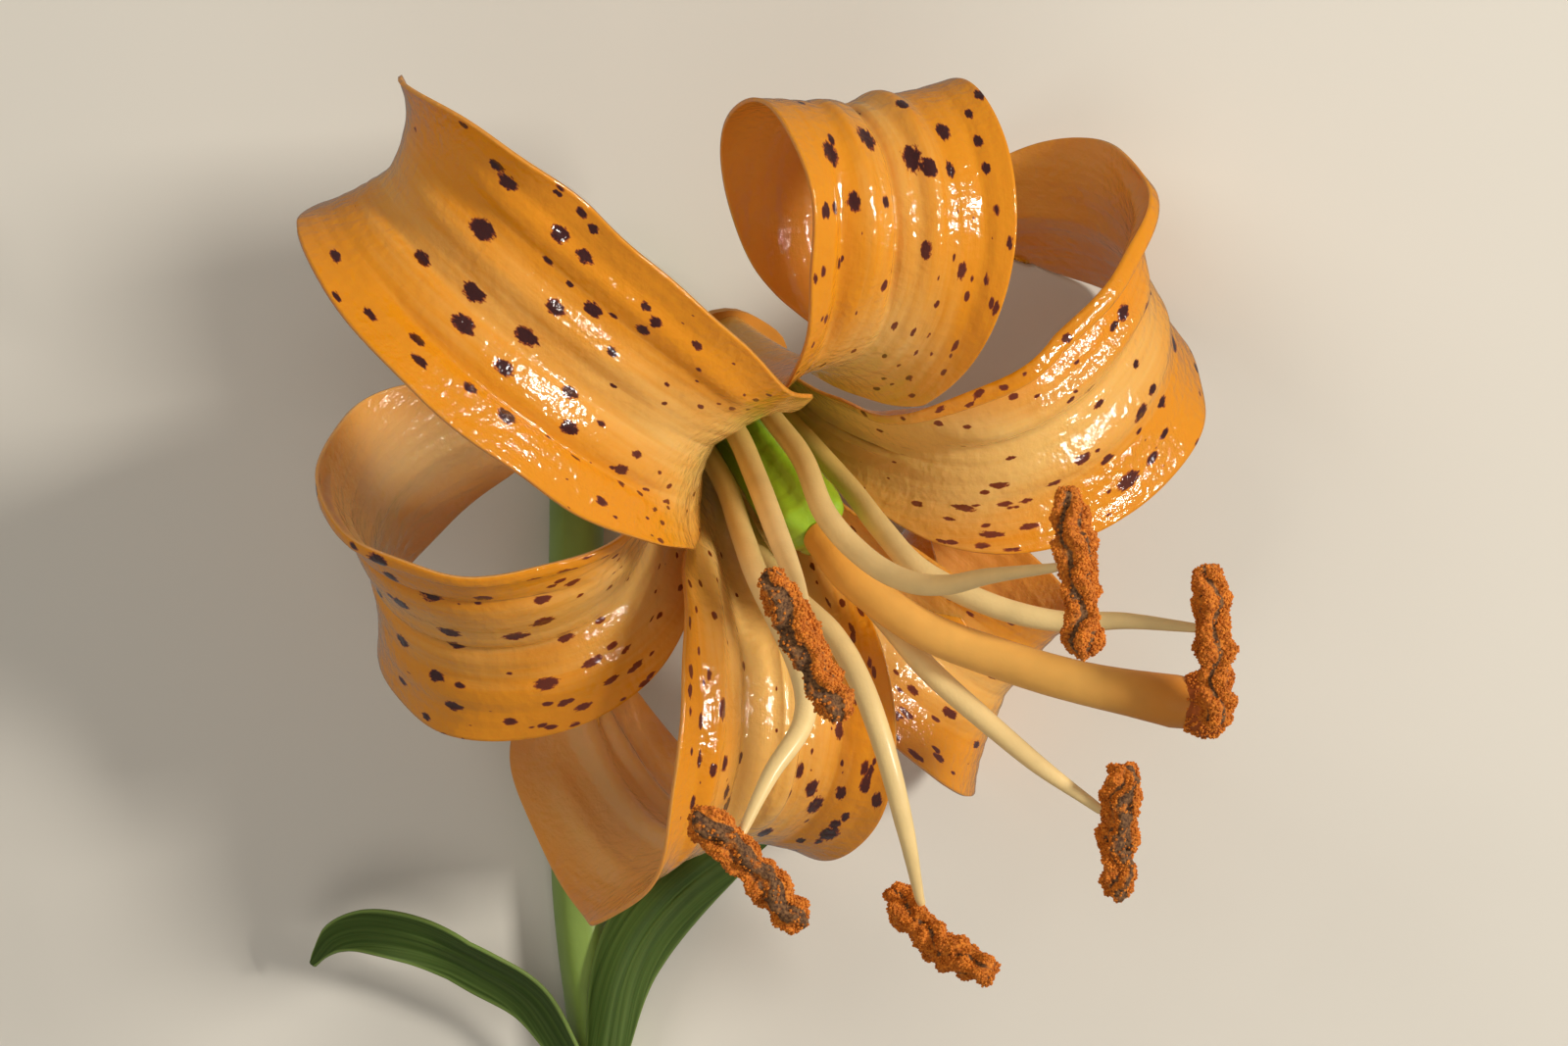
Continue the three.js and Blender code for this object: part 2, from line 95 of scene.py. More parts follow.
# Azimuth, length, half width and opening; then curl, sway, twist and the turn of both margins, in
# degrees; corners, where a margin buckles out to a point, are (side, place along, height), swells (side,
# place along, height, spread), and folds (share across, height, width, start and end along), in mm.
TEPALS = {
    "petal_upper_left": dict(
        shape=(192, 74, 9.6, 8), curl=[0.5, 3, 4, 3, 2.3, 6.8, 9], sway=[0, 0, -1, -0.8],
        twist=[0, -0.9, 0.4, 0.8],
        left=[55, 45, 35, 32, 80, 50], right=[60, 65, 45, 38, 45, 10],
        corners=[(-1, 19.5, 1.5), (1, 19.5, 1.4), (-1, 61, 0.9)], swells=[(-1, 54, 1.5, 8)],
        folds=[(-0.2, 0.5, 1.1, 30, 60), (0.14, -0.4, 0.8, 26, 62), (0.55, -0.6, 0.7, 22, 54),
               (-0.62, 0.5, 0.9, 22, 56), (-0.2, 0.8, 0.5, 2, 16), (0.2, 0.8, 0.5, 2, 16)]),
    "sepal_top": dict(
        shape=(133, 72, 8.7, 12), curl=[0.5, 2.5, 5, 5.5, 7.5, 5.5, 6.5], sway=[0.4, 0.6, -0.3, 0],
        twist=[0.3, -0.4, 0, 1.2], left=[50, 45, 30, 20, 15, 20], right=[50, 45, 25, 10, 5, 5],
        corners=[(-1, 18.5, 0.8)],
        folds=[(0.62, -0.8, 0.8, 20, 40), (0.36, 0.5, 0.7, 26, 48), (0.08, -0.6, 0.5, 24, 50),
               (-0.28, 0.5, 0.8, 27, 52), (-0.7, -0.3, 0.9, 22, 44)]),
    "petal_right": dict(
        shape=(64, 70, 9.6, 13), curl=[0.5, 2, 6.2, 3, 4.4, 5, 5], sway=[0.5, 1, -0.3, -0.3],
        twist=[-0.2, 0.2, -1.2, 1.6], left=[40, 50, 25, 20, 10, 10], right=[50, 30, 5, 20, 35, 30],
        folds=[(0.9, 1.3, 0.9, 10, 52), (0.7, -0.7, 0.9, 12, 48), (0.36, 0.9, 0.9, 18, 46),
               (0.12, -0.5, 0.7, 16, 46), (-0.3, 0.4, 1, 22, 50), (-0.12, 0.7, 0.4, 2, 17)]),
    "sepal_lower_right": dict(
        shape=(-3, 72, 8.6, 12), curl=[1, 0.5, 4.5, 8, 8, 7.5, 6.5], sway=[0.5, 1.5, 1.1, 0.6],
        twist=[-0.5, 0, -0.8, -0.8], left=[65, 70, 30, 20, 15, 5], right=[65, 70, 30, 15, 5, 0],
        folds=[(-0.3, 0.3, 0.8, 20, 34), (0.3, -0.3, 0.8, 18, 34)]),
    "petal_bottom": dict(
        shape=(-56, 68.5, 10.2, 8), curl=[0.2, 0, 4, 6, 5, 6, 9.5], sway=[-0.5, 0.8, 0, -0.2],
        twist=[-0.8, 0.9, 0.9, 0.8], left=[60, 30, 20, 34, 27, 0], right=[50, 40, 50, 35, 20, 10],
        corners=[(-1, 45.3, 1.8)], swells=[(-1, 62, 1.8, 5)],
        folds=[(0.12, 1.1, 0.8, 6, 40), (-0.22, -0.9, 1.1, 8, 40), (-0.62, 0.6, 0.8, 12, 42),
               (0.55, -0.5, 1, 18, 44), (-0.1, -0.9, 0.6, 42, 67), (0.25, -0.7, 0.5, 44, 66),
               (-0.55, -0.4, 0.8, 42, 62)]),
    "sepal_left": dict(
        shape=(-110, 72, 9.6, 12), curl=[0.5, 3, 6, 5, 4.5, 5, 5], sway=[0, 0.4, 0.8, -0.5],
        twist=[0, 0.3, 0, 1.6],
        left=[65, 30, 15, 10, 5, 15], right=[45, 65, 40, 25, 15, -10],
        folds=[(-0.45, -0.5, 0.5, 22, 48), (0.18, -0.6, 0.6, 18, 48), (-0.92, 0.7, 0.8, 16, 50),
               (0.6, 0.4, 1, 20, 46)]),
}

# How pale each tepal is down the middle: its back, then its inner side. The paleness of the back is partly its
# own creamy colour and partly painted light, most on sepal_left, whose back lies in shade under
# petal_upper_left
CREAM_AND_PAINTED_LIGHT = {"petal_upper_left": (0.2, 0.35), "sepal_top": (0.1, 0.1), "petal_right": (0.12, 0.75),
         "sepal_lower_right": (0.3, 0.3), "petal_bottom": (0.5, 0.6), "sepal_left": (0.9, 0.1)}

# The larger spots of each tepal: distance along, share across and length, the last two in tenths
# of the half width and of a millimetre. Smaller ones are scattered by the material.
SPOTS = {
    "petal_upper_left": [
        (50, -3.3, 25), (52, 1.5, 19), (47.5, 0.5, 23), (46.5, 3, 22), (42.5, 0.5, 24), (42.3, -2.5, 18),
        (45.5, -7, 19), (43, -7, 17), (40, -4.2, 19), (50.5, -7.5, 18), (51.7, -8, 14), (61, -9, 12),
        (55.5, 7.5, 13), (53, 9.5, 10), (51, 8, 13), (48, 6.5, 14), (47, 7.7, 15), (37.5, 2, 17),
        (42.5, 3.5, 18), (30.5, 4.8, 18), (30, 3.3, 15), (37, -2.5, 12), (42.5, -4.6, 9), (54.5, -9.5, 9),
        (35, -0.5, 9), (40.5, 6.5, 17), (36.3, 4.2, 17), (43.5, 6.5, 13), (47.5, -9.3, 9), (43.8, -9, 12),
        (36.3, -5.5, 14), (36, -6.6, 13), (37.3, -7, 11), (32.5, -7.2, 13), (27, 5.5, 12), (26, 7, 10),
        (24.5, 6, 11)],
    "sepal_top": [
        (44.5, 1, 16), (43, -2.8, 14), (40, -5, 18), (41, -8, 11), (42, -9.7, 12), (40, 2.5, 25),
        (38.8, 6.5, 23), (38.2, -1.5, 26), (37.2, -2.6, 17), (37, -4.5, 15), (38.8, -7.8, 12),
        (36.8, -7.8, 11), (35.2, 5, 18), (34.5, 8.5, 14), (34.7, 7.4, 12), (30, -5.5, 17), (31.5, -2, 17),
        (35, 2.2, 12), (29.8, 1.2, 10), (25, -1, 14), (24.8, -2.9, 13), (22.8, -4.5, 11), (24.5, -7.5, 15),
        (24.8, -4.6, 9), (27.5, -4, 10), (32, -9.5, 11), (28, -9.5, 13), (29.8, 9.6, 11), (26.5, 8, 12),
        (46, 5, 13), (48, -5, 14), (51, 2, 15)],
    "petal_right": [
        (43.5, -5, 20), (37.5, -5, 15), (35, -3.5, 20), (34, -7.5, 16), (29, -3, 18), (32.3, 0, 15),
        (37, -3, 13), (37.8, 5, 19), (40, 3.3, 17), (35.3, 7.2, 13), (37.3, -0.5, 11), (26.5, -4, 16),
        (30.8, -4.6, 16), (31.5, -7.5, 26), (22.7, -3, 21), (22.8, -5, 17), (20, -5.5, 24), (19, -7, 15),
        (21.7, -8, 24), (24, -7.5, 20), (22.7, -9.6, 15), (18.7, -9.6, 13), (24.3, -5, 14), (24, -0.5, 13),
        (28.5, 7.5, 18), (25.5, 8, 16), (22.8, 9.7, 14), (22, 9.2, 12), (20, 9.6, 13), (30.7, 9.4, 13),
        (45, 0, 14), (44.5, -9.6, 12), (29.5, 3.5, 11), (50, -3, 16), (49, 5, 14)],
    "petal_bottom": [
        (29.3, 5.5, 19), (26.7, 6.8, 18), (22, 8, 17), (20.8, 9.4, 15), (19.3, 7, 14), (34, 4, 20),
        (32.5, 2.5, 18), (34.5, 2, 13), (35.8, 5, 24), (34, 6.5, 16), (32.8, 8, 18), (31.8, 8.2, 12),
        (33.8, 9.2, 16), (36, 7.5, 12), (37, 7.2, 13), (38.3, 7.4, 23), (40.5, 6.4, 12), (39.5, 2.5, 20),
        (35.5, -3, 18), (34, -3.8, 15), (28.8, -7.8, 15), (27, -9.3, 14), (31.3, -7.5, 12),
        (31.8, -6.4, 13), (28, -6, 20), (25.8, -7.2, 12), (22.5, -9.6, 14), (34, -7.5, 13),
        (31.7, -2.5, 13), (44, 0, 17), (43, -5, 14)],
    "sepal_left": [
        (37.5, -9.4, 18), (38, -6, 17), (38.5, -2.2, 20), (35.3, -4.5, 22), (31.2, -7.8, 14),
        (31, -5.8, 17), (34.8, -0.2, 24), (29.5, 0, 27), (34.8, 1.6, 20), (40.3, 3.5, 20), (36.5, 5, 17),
        (35, 7.2, 18), (28, 5.3, 24), (25.8, 2, 20), (24.5, 5, 25), (22, 8, 20), (23.8, 7.5, 17),
        (26, 8.5, 16), (27, 7.5, 17), (27.3, -1.5, 25), (27, -4, 18), (24.7, -5.5, 19), (25.3, -9, 18),
        (27.3, -9, 14), (21, -6, 12), (23.8, -9.7, 10), (21, -3.5, 9), (26.2, -6, 12), (22, 6, 14),
        (19, 6, 10), (21.5, 9.7, 13), (28.8, 9, 11), (26.8, 9.7, 11), (46, -9.6, 18), (37.5, 9.3, 12),
        (43, 0.5, 15)],
    "sepal_lower_right": [
        (28.6, -3.5, 19), (25.3, -4, 15), (25.8, -6.5, 18), (27.5, -9.4, 17), (29.2, -8, 15),
        (28.5, 9.4, 16), (24.3, 9, 14), (25.2, -7.7, 12), (24.5, -5, 13), (30.5, 2, 15), (33, -5, 14),
        (34, 4, 15), (22, 2, 12)],
}

# Stamens, from the receptacle: the filament's route, the anther's middle and way, and how far along
# the anther from its middle the filament takes hold
STAMENS = [
    ([(1.3, 2.2, 1.9), (4.9, -2.7, 10), (7.2, -5.9, 14.6), (8.9, -10.1, 19.4), (11.8, -13.3, 22.8),
      (14.8, -15, 25.2), (17.7, -15.3, 27.5), (20.8, -14.6, 31.2), (24.5, -13.1, 37.5)],
      (26.6, -14.3, 38.6), (0.09, -0.98, 0.18), -0.6),
    ([(3, 0.8, -0.3), (10.3, -7.4, 8.5), (12.9, -10.8, 13.3), (15.7, -14, 17.5), (19.4, -16.1, 20),
      (23.3, -17.5, 21.5), (27, -18.1, 22.4), (31.2, -18, 24.2), (35.5, -18.2, 26.4)], (37.3, -19.8, 27.5),
      (0.07, -0.97, -0.25), -1.2),
    ([(2, -1.7, -1.8), (9.2, -12.7, 8.2), (14.3, -19, 14.2), (16.9, -22, 15.9), (20.6, -25.3, 16.7),
      (25, -29, 17.4), (29.6, -32.4, 17.4)], (31.3, -34.1, 16.5), (0, -0.83, -0.55), -2.0),
    ([(-0.8, -2.9, -1.1), (3, -11.6, 9.6), (6.2, -16, 16), (9.5, -19.2, 19.2), (11.6, -22.9, 22),
      (13.4, -28, 23.1), (14.9, -33.9, 22.3), (16.1, -38.2, 21.2)], (17.8, -41.2, 20), (0.58, -0.46, 0.67),
      -2.5),
    ([(-2.5, -1.5, 1.1), (1.1, -7.5, 9.6), (2.6, -11.6, 16.1), (3.9, -15, 21.7), (6.9, -21.3, 28.4),
      (7.2, -25.2, 30.7), (4.8, -29, 32.9), (3.6, -32.6, 33.7)], (3.2, -35.9, 34.5), (0.64, -0.71, -0.31),
      -2.2),
    ([(-1.5, 1, 2.6), (1.9, -3.5, 10.1), (3.4, -6.7, 14.6), (5, -10.8, 22.4), (6.5, -14.8, 30.5),
      (7.9, -17.6, 42)],
     (7.3, -19.4, 45), (0.43, -0.86, -0.27), 0.0),
]
ANTHER_LENGTH = 12.5
ANTHER_RADIUS = 1.3
FILAMENT_TAPER = [(0, 0.8), (0.25, 0.95), (0.8, 0.8), (0.95, 0.5), (1, 0.4)]
# Each anther's turn about itself, which way its bare side faces, how bare that is, and its bow
ANTHER_LOOKS = [(0.3, -0.9, 0.05, (0.3, 0, 0)), (0.9, -1.5, -0.02, (0.2, 0, 0)),
                (0.2, -2.2, 0.25, (-0.2, 0, 0)), (0.6, -0.8, -0.05, (-0.7, -0.9, 0)),
                (0.1, -1.9, 0.3, (0.2, 0.2, 0)), (0.5, -1.0, 0.2, (0, 0, 0))]
ANTHER_SWELL = [(0, 0.55), (0.08, 0.95), (0.3, 1.05), (0.75, 1), (0.93, 0.9), (1, 0.5)]

OVARY_OUTLINE = [(0, 1.95), (3, 2.05), (9, 2.4), (15, 2.75), (18, 2.75), (19.5, 2.4), (20.2, 1.7)]
STYLE_ROUTE = [(8.7, -12, 14.3), (11, -14.9, 16.4), (16.1, -18.6, 17.8), (22, -20.9, 18.7),
               (27.8, -22.6, 20.3), (34.9, -24, 21.5)]
STYLE_RADIUS = [(0, 1.35), (0.6, 1.55), (0.88, 1.7), (1, 2)]
STIGMA_PLACE = (36.9, -24.2, 21.6)
STIGMA_RADIUS = [(0, 2), (0.3, 2.5), (0.7, 2.5), (1, 1.4)]

LYING = STEM_REST - RECEPTACLE[2]
STEM_ROUTE = [(-8.6, -105, LYING), (-8.6, -80, LYING), (-9.2, -55, LYING), (-10.7, -40, LYING),
              (-11, -24, LYING), (-10.9, -8, LYING), (-10.7, 2, LYING), (-10, 7.4, -10.7),
              (-7.6, 9.4, -9.8)]
NECK_LENGTH = 10
STEM_FLARE = [(0, 6.8), (0.8, 6.5), (2, 4.9), (4, 3.3), (6.5, 2.4), (NECK_LENGTH, STEM_RADIUS)]

LEAVES = {
    "leaf_left": dict(
        route=[(-11.2, -53.6, -9.2), (-14.3, -48.7, -8), (-18.3, -46, -7), (-22.6, -44, -6.5),
               (-27, -43.2, -6.5), (-30, -43.8, -7.2), (-32, -46, -9)],
        across=(0.6, 0.5, 0.6), half=[(0, 1.5), (0.25, 2.7), (0.5, 2.4), (0.8, 1.4), (1, 0.3)], channel=35,
        roll=[(0, 0), (0.4, 0), (0.7, 40), (1, 40)]),
    "leaf_right": dict(
        route=[(-8.4, -54, -8.4), (-7.3, -48, -8), (-5.6, -44, -8), (-2.8, -40.6, -8.4), (0.7, -37.9, -9),
               (4.5, -36, -9.6)],
        across=(-1, 0, 0.2), half=[(0, 1.7), (0.2, 2.7), (0.5, 3.3), (0.8, 2.3), (1, 0.3)], channel=50,
        roll=[(0, 0), (1, 0)]),
}

# What the finer pieces have beside the solids: girths as multiples of the ones above, lumps and lobes
# as shares of the girth, twist in radians, lengths in millimetres, and the steps or points of a mesh
FILAMENT_GIRTH = 0.88
GRIP_GIRTH = 0.3
GRIP_DEPTH = 0.8
ANTHER_GIRTH = 1.12
ANTHER_LUMPS = 0.22
ANTHER_TWIST = 0.7
ANTHER_LOBES = 0.22
STIGMA_GIRTH = 0.95
STIGMA_START = -1.2
STIGMA_LENGTH = 3.6
STIGMA_POLLEN = 0.7
STYLE_RUN_ON = 0.6
STYLE_ENDS = [1.3, 1.9]
OVARY_HEIGHT = 20.2
OVARY_LOBES = 0.1
ROOT_LENGTH = 0.9
MIDRIB_WIDTH = 1.1
TEPAL_STEPS = 104
LEAF_STEPS = 120
LEAF_COLUMNS = 32
FILAMENT_POINTS = 73
ANTHER_POINTS = 111
PISTIL_POINTS = 81
STIGMA_POINTS = 41
STEM_POINTS = 120
NECK_POINTS = 61

# Layers of small scattered spots on the inner side, in millimetres: cell across and along, share of
# cells with a spot, smallest and largest radius as a share of a cell, where along the blade they
# start and end, and how far they keep to its sides
SPOT_LAYERS = [
    (2.4, 4.6, 0.38, 0.06, 0.14, 15, 60, 0.6),
    (1.5, 3.0, 0.62, 0.07, 0.17, 12, 34, 0.45),
]

# The stage, in metres and watts: each soft light's name, place, power and size
LIGHTS = [("key", (0.46, 0.12, 0.4), 3.1, 0.11), ("fill", (-0.36, 0.3, 0.5), 0.9, 0.3),
          ("front", (0.0, -0.3, 0.65), 0.8, 0.4)]
LIGHT_COLOUR = (1.0, 0.93, 0.82)
LIT_PLACE = (0.0, 0.02, 0.03)
CAMERA_PLACE = (0.00225, 0.03022, 0.463)
CAMERA_LENS = 131.6
FLOOR_HALF = 2.0


# Settings that a user would change

def length(name, description, size):
    return FloatProperty(name=name, description=description, default=size * MM, unit="LENGTH", precision=5)


def colour(name, description, code):
    return FloatVectorProperty(name=name, description=description, subtype="COLOR", size=3, min=0, max=1,
                               default=linear(code))


class LilySizes(bpy.types.PropertyGroup):
    """Sizes of the fine detail."""
    tepal_thickness: length("Tepal thickness", "Thickness of a petal or sepal at its midrib", 0.6)
    margin_thickness: length("Margin thickness", "Thickness of a petal or sepal at its margin", 0.3)
    vein_pitch: length("Vein pitch", "Distance between the lengthwise veins of a petal or sepal", 1.3)
    vein_height: length("Vein height", "Height of the lengthwise veins", 0.02)
    fold_height: length("Fold height", "Height of the irregular lengthwise folds", 0.35)
    midrib_depth: length("Midrib depth", "Depth of the furrow along a petal's or sepal's middle", 0.3)
    margin_wave: length("Margin wave", "How far the margins of petals and sepals wave to each side", 0.22)
    grain: length("Pollen grain", "Radius of a pollen clump", 0.09)
    pollen_density: FloatProperty(
        name="Pollen density", description="Pollen clumps on each square metre of an anther", default=3.2e7)
    leaf_thickness: length("Leaf thickness", "Thickness of a leaf at its midrib", 0.5)
    columns: IntProperty(
        name="Tepal columns", description="Columns of faces across a petal or sepal", default=80, min=20,
        max=96)


class LilyColours(bpy.types.PropertyGroup):
    """Colours of the plant and its stage."""
    tepal: colour("Tepal", "Inner side of petals and sepals", "e29110")
    tepal_pale: colour("Tepal, pale", "Inner side near the throat and along the midrib", "edbf6e")
    tepal_outer: colour("Tepal, outside", "Outer side of petals and sepals", "df8a1c")
    spot: colour("Spots", "Spots on the inner side", "3c1110")
    filament: colour("Filament", "Stalks of the stamens", "efd294")
    anther: colour("Anther", "Anthers under their pollen", "86603c")
    pollen: colour("Pollen", "Pollen on anthers and stigma", "e68a2c")
    style: colour("Style", "Style of the pistil", "f0b75e")
    ovary: colour("Ovary", "Ovary of the pistil", "9cc42c")
    stem: colour("Stem", "Stem and receptacle", "86a04e")
    leaf: colour("Leaf", "Leaves", "384e18")
    leaf_edge: colour("Leaf edge", "Margins and veins of the leaves", "86a052")
    floor: colour("Floor", "The pale floor", "dcd9d2")


# Node trees

MATH = "ShaderNodeMath"
VECTOR = "ShaderNodeVectorMath"
RANGE = "ShaderNodeMapRange"
NOISE = "ShaderNodeTexNoise"
MIX = "ShaderNodeMix"
ATTRIBUTE = "ShaderNodeAttribute"
SPLIT = "ShaderNodeSeparateXYZ"
JOIN = "ShaderNodeCombineXYZ"
STORED = "GeometryNodeInputNamedAttribute"
STORE = "GeometryNodeStoreNamedAttribute"
MOVE = "GeometryNodeSetPosition"
REAL = "GeometryNodeRealizeInstances"
PAINT = "GeometryNodeSetMaterial"
SOCKETS = {float: "NodeSocketFloat", int: "NodeSocketInt", type(None): "NodeSocketMaterial"}


def add_node(tree, kind, links=None, **settings):
    """Adds a node with its settings, and links or fills its inputs by number or name."""
    node = tree.nodes.new(kind)
    for key, value in settings.items():
        setattr(node, key, value)
    for key, value in (links or {}).items():
        if isinstance(value, bpy.types.Node):
            value = next(socket for socket in value.outputs if socket.enabled)
        if isinstance(value, bpy.types.NodeSocket):
            tree.links.new(value, node.inputs[key])
        else:
            node.inputs[key].default_value = value
    return node


def grown_tree(name, inputs):
    """A Geometry Nodes tree with named inputs; returns it with their sockets and what adds its nodes."""
    tree = bpy.data.node_groups.new(name, "GeometryNodeTree")
    for way in ("OUTPUT", "INPUT"):
        tree.interface.new_socket("Geometry", in_out=way, socket_type="NodeSocketGeometry")
    for label, default in inputs.items():
        socket = tree.interface.new_socket(label, in_out="INPUT", socket_type=SOCKETS[type(default)])
        if default is not None:
            socket.default_value = default
    add = partial(add_node, tree)
    return tree, add("NodeGroupInput").outputs, add


def end_tree(add, shape, skin):
    """Ends a tree with a smooth shape, real instances and their material."""
    shape = add("GeometryNodeSetShadeSmooth", {"Geometry": shape})
    shape = add(REAL, {"Geometry": shape})
    add("NodeGroupOutput", {"Geometry": add(PAINT, {"Geometry": shape, "Material": skin})})


def blade_tree():
    """A veined blade: gives a middle surface its furrow, veins and thickness, and closes it round its rim."""
    tree, given, add = grown_tree("Veined blade", {
        "Thickness": 0.6 * MM, "Margin thickness": 0.3 * MM, "Vein pitch": 1.3 * MM, "Vein height": 0.02 * MM,
        "Fold height": 0.3 * MM, "Midrib depth": 0.3 * MM, "Midrib width": 1.1 * MM, "Skin": None})
    place = add(STORED, {"Name": "blade"}, data_type="FLOAT_VECTOR")
    across, along, half = add(SPLIT, {0: place}).outputs
    distance = add(MATH, {0: across}, operation="ABSOLUTE")
    share = add(MATH, {0: distance, 1: half}, operation="DIVIDE")
    seed = add(STORED, {"Name": "seed"}, data_type="FLOAT")
    flow = add(JOIN, {0: across, 1: along, 2: seed})
    wander = add(VECTOR, {0: flow, 1: (150, 35, 1)}, operation="MULTIPLY")
    wander = add(NOISE, {"Vector": wander, "Scale": 1.0, "Detail": 2.0})
    wander = add(MATH, {0: wander, 1: 3.0}, operation="MULTIPLY")
    # irregular folds about 2.5 mm apart that run on for 20 mm or so
    fold = add(VECTOR, {0: flow, 1: (380, 45, 3)}, operation="MULTIPLY")
    fold = add(NOISE, {"Vector": fold, "Scale": 1.0, "Detail": 1.0, "Roughness": 0.4})
    fold = add(MATH, {0: fold, 1: 0.5}, operation="SUBTRACT")
    fold = add(MATH, {0: fold, 1: given["Fold height"]}, operation="MULTIPLY")
    phase = across
    for operation, value in (("DIVIDE", given["Vein pitch"]), ("ADD", wander), ("MULTIPLY", 2 * math.pi)):
        phase = add(MATH, {0: phase, 1: value}, operation=operation)
    fade = add(RANGE, {0: share, 1: 0.8, 2: 1.0, 3: 1.0, 4: 0.0})
    veins = add(MATH, {0: phase}, operation="SINE")
    for operation, value in (("MULTIPLY", given["Vein height"]), ("ADD", fold), ("MULTIPLY", fade)):
        veins = add(MATH, {0: veins, 1: value}, operation=operation)
    # the furrow is a bell over the midrib, and fades out where the blade is narrow
    bell = add(MATH, {0: across, 1: given["Midrib width"]}, operation="DIVIDE")
    bell = add(MATH, {0: bell, 1: bell}, operation="MULTIPLY")
    bell = add(MATH, {0: bell, 1: -1.0}, operation="MULTIPLY")
    furrow = add(MATH, {0: bell}, operation="EXPONENT")
    narrow = add(RANGE, {0: half, 1: 0.5 * MM, 2: 4 * MM, 3: 0.0, 4: 1.0})
    for value in (given["Midrib depth"], narrow):
        furrow = add(MATH, {0: furrow, 1: value}, operation="MULTIPLY")
    relief = add(MATH, {0: veins, 1: furrow}, operation="SUBTRACT")
    thick = add(RANGE, {0: share, 1: 0.0, 2: 1.0, 3: given["Thickness"], 4: given["Margin thickness"]})
    lower = add(MATH, {0: thick, 1: -0.5, 2: relief}, operation="MULTIPLY_ADD")
    normal = add("GeometryNodeInputNormal")
    sink, rise = (add(VECTOR, {0: normal, "Scale": size}, operation="SCALE") for size in (lower, thick))
    outer = add(MOVE, {"Geometry": given["Geometry"], "Offset": sink})
    inner = add("GeometryNodeExtrudeMesh", {
        "Mesh": outer, "Offset": rise, "Offset Scale": 1.0, "Individual": False}, mode="FACES")
    inner_face = add(MATH, {0: inner.outputs["Top"], 1: 1.0}, operation="MULTIPLY")
    turned = add("GeometryNodeFlipFaces", {"Mesh": outer})
    both = add("GeometryNodeJoinGeometry")
    for shape, side in ((inner.outputs["Mesh"], inner_face), (turned, 0.0)):
        marked = add(STORE, {"Geometry": shape, "Name": "side", "Value": side},
                     data_type="FLOAT", domain="FACE")
        tree.links.new(marked.outputs[0], both.inputs[0])
    closed = add("GeometryNodeMergeByDistance", {"Geometry": both, "Distance": 0.001 * MM})
    end_tree(add, closed, given["Skin"])
    return tree


def cord_tree():
    """A lobed cord: sweeps a ribbed section along a line of points that carry their own girth."""
    tree, given, add = grown_tree("Lobed cord", {
        "Sides": 24, "Lobes": 1.0, "Lobe depth": 0.0, "Turn": 0.0, "Front": 0.0, "Ripple": 0.0,
        "Ripple size": 1 * MM, "Skin": None})
    ring = add("GeometryNodeCurvePrimitiveCircle", {"Resolution": given["Sides"], "Radius": 1.0})
    place = add("GeometryNodeInputPosition")
    flat = add(SPLIT, {0: place}).outputs
    angle = add(MATH, {0: flat["Y"], 1: flat["X"]}, operation="ARCTAN2")
    front = add(MATH, {0: angle, 1: given["Front"]}, operation="SUBTRACT")
    front = add(MATH, {0: front}, operation="COSINE")
    angle = add(MATH, {0: angle, 1: given["Turn"]}, operation="ADD")
    angle = add(MATH, {0: angle, 1: given["Lobes"]}, operation="MULTIPLY")
    lobe = add(MATH, {0: angle}, operation="COSINE")
    swell = add(MATH, {0: lobe, 1: given["Lobe depth"], 2: 1.0}, operation="MULTIPLY_ADD")
    spread = add(VECTOR, {0: place, "Scale": swell}, operation="SCALE")
    section = add(MOVE, {"Geometry": ring, "Position": spread})
    for key, value in (("lobe", lobe), ("front", front)):
        section = add(STORE, {"Geometry": section, "Name": key, "Value": value},
                      data_type="FLOAT", domain="POINT")
    twist, girth = (add(STORED, {"Name": key}, data_type="FLOAT") for key in ("twist", "girth"))
    route = add("GeometryNodeMeshToCurve", {"Mesh": given["Geometry"]})
    route = add("GeometryNodeSetCurveTilt", {"Curve": route, "Tilt": twist})
    body = add("GeometryNodeCurveToMesh", {
        "Curve": route, "Profile Curve": section, "Scale": girth, "Fill Caps": True})
    fine = add(MATH, {0: 1.0, 1: given["Ripple size"]}, operation="DIVIDE")
    rough = add(NOISE, {"Scale": fine, "Detail": 2.0})
    rough = add(MATH, {0: rough, 1: 0.5}, operation="SUBTRACT")
    rough = add(MATH, {0: rough, 1: given["Ripple"]}, operation="MULTIPLY")
    shift = add(VECTOR, {0: add("GeometryNodeInputNormal"), "Scale": rough}, operation="SCALE")
    end_tree(add, add(MOVE, {"Geometry": body, "Offset": shift}), given["Skin"])
    return tree


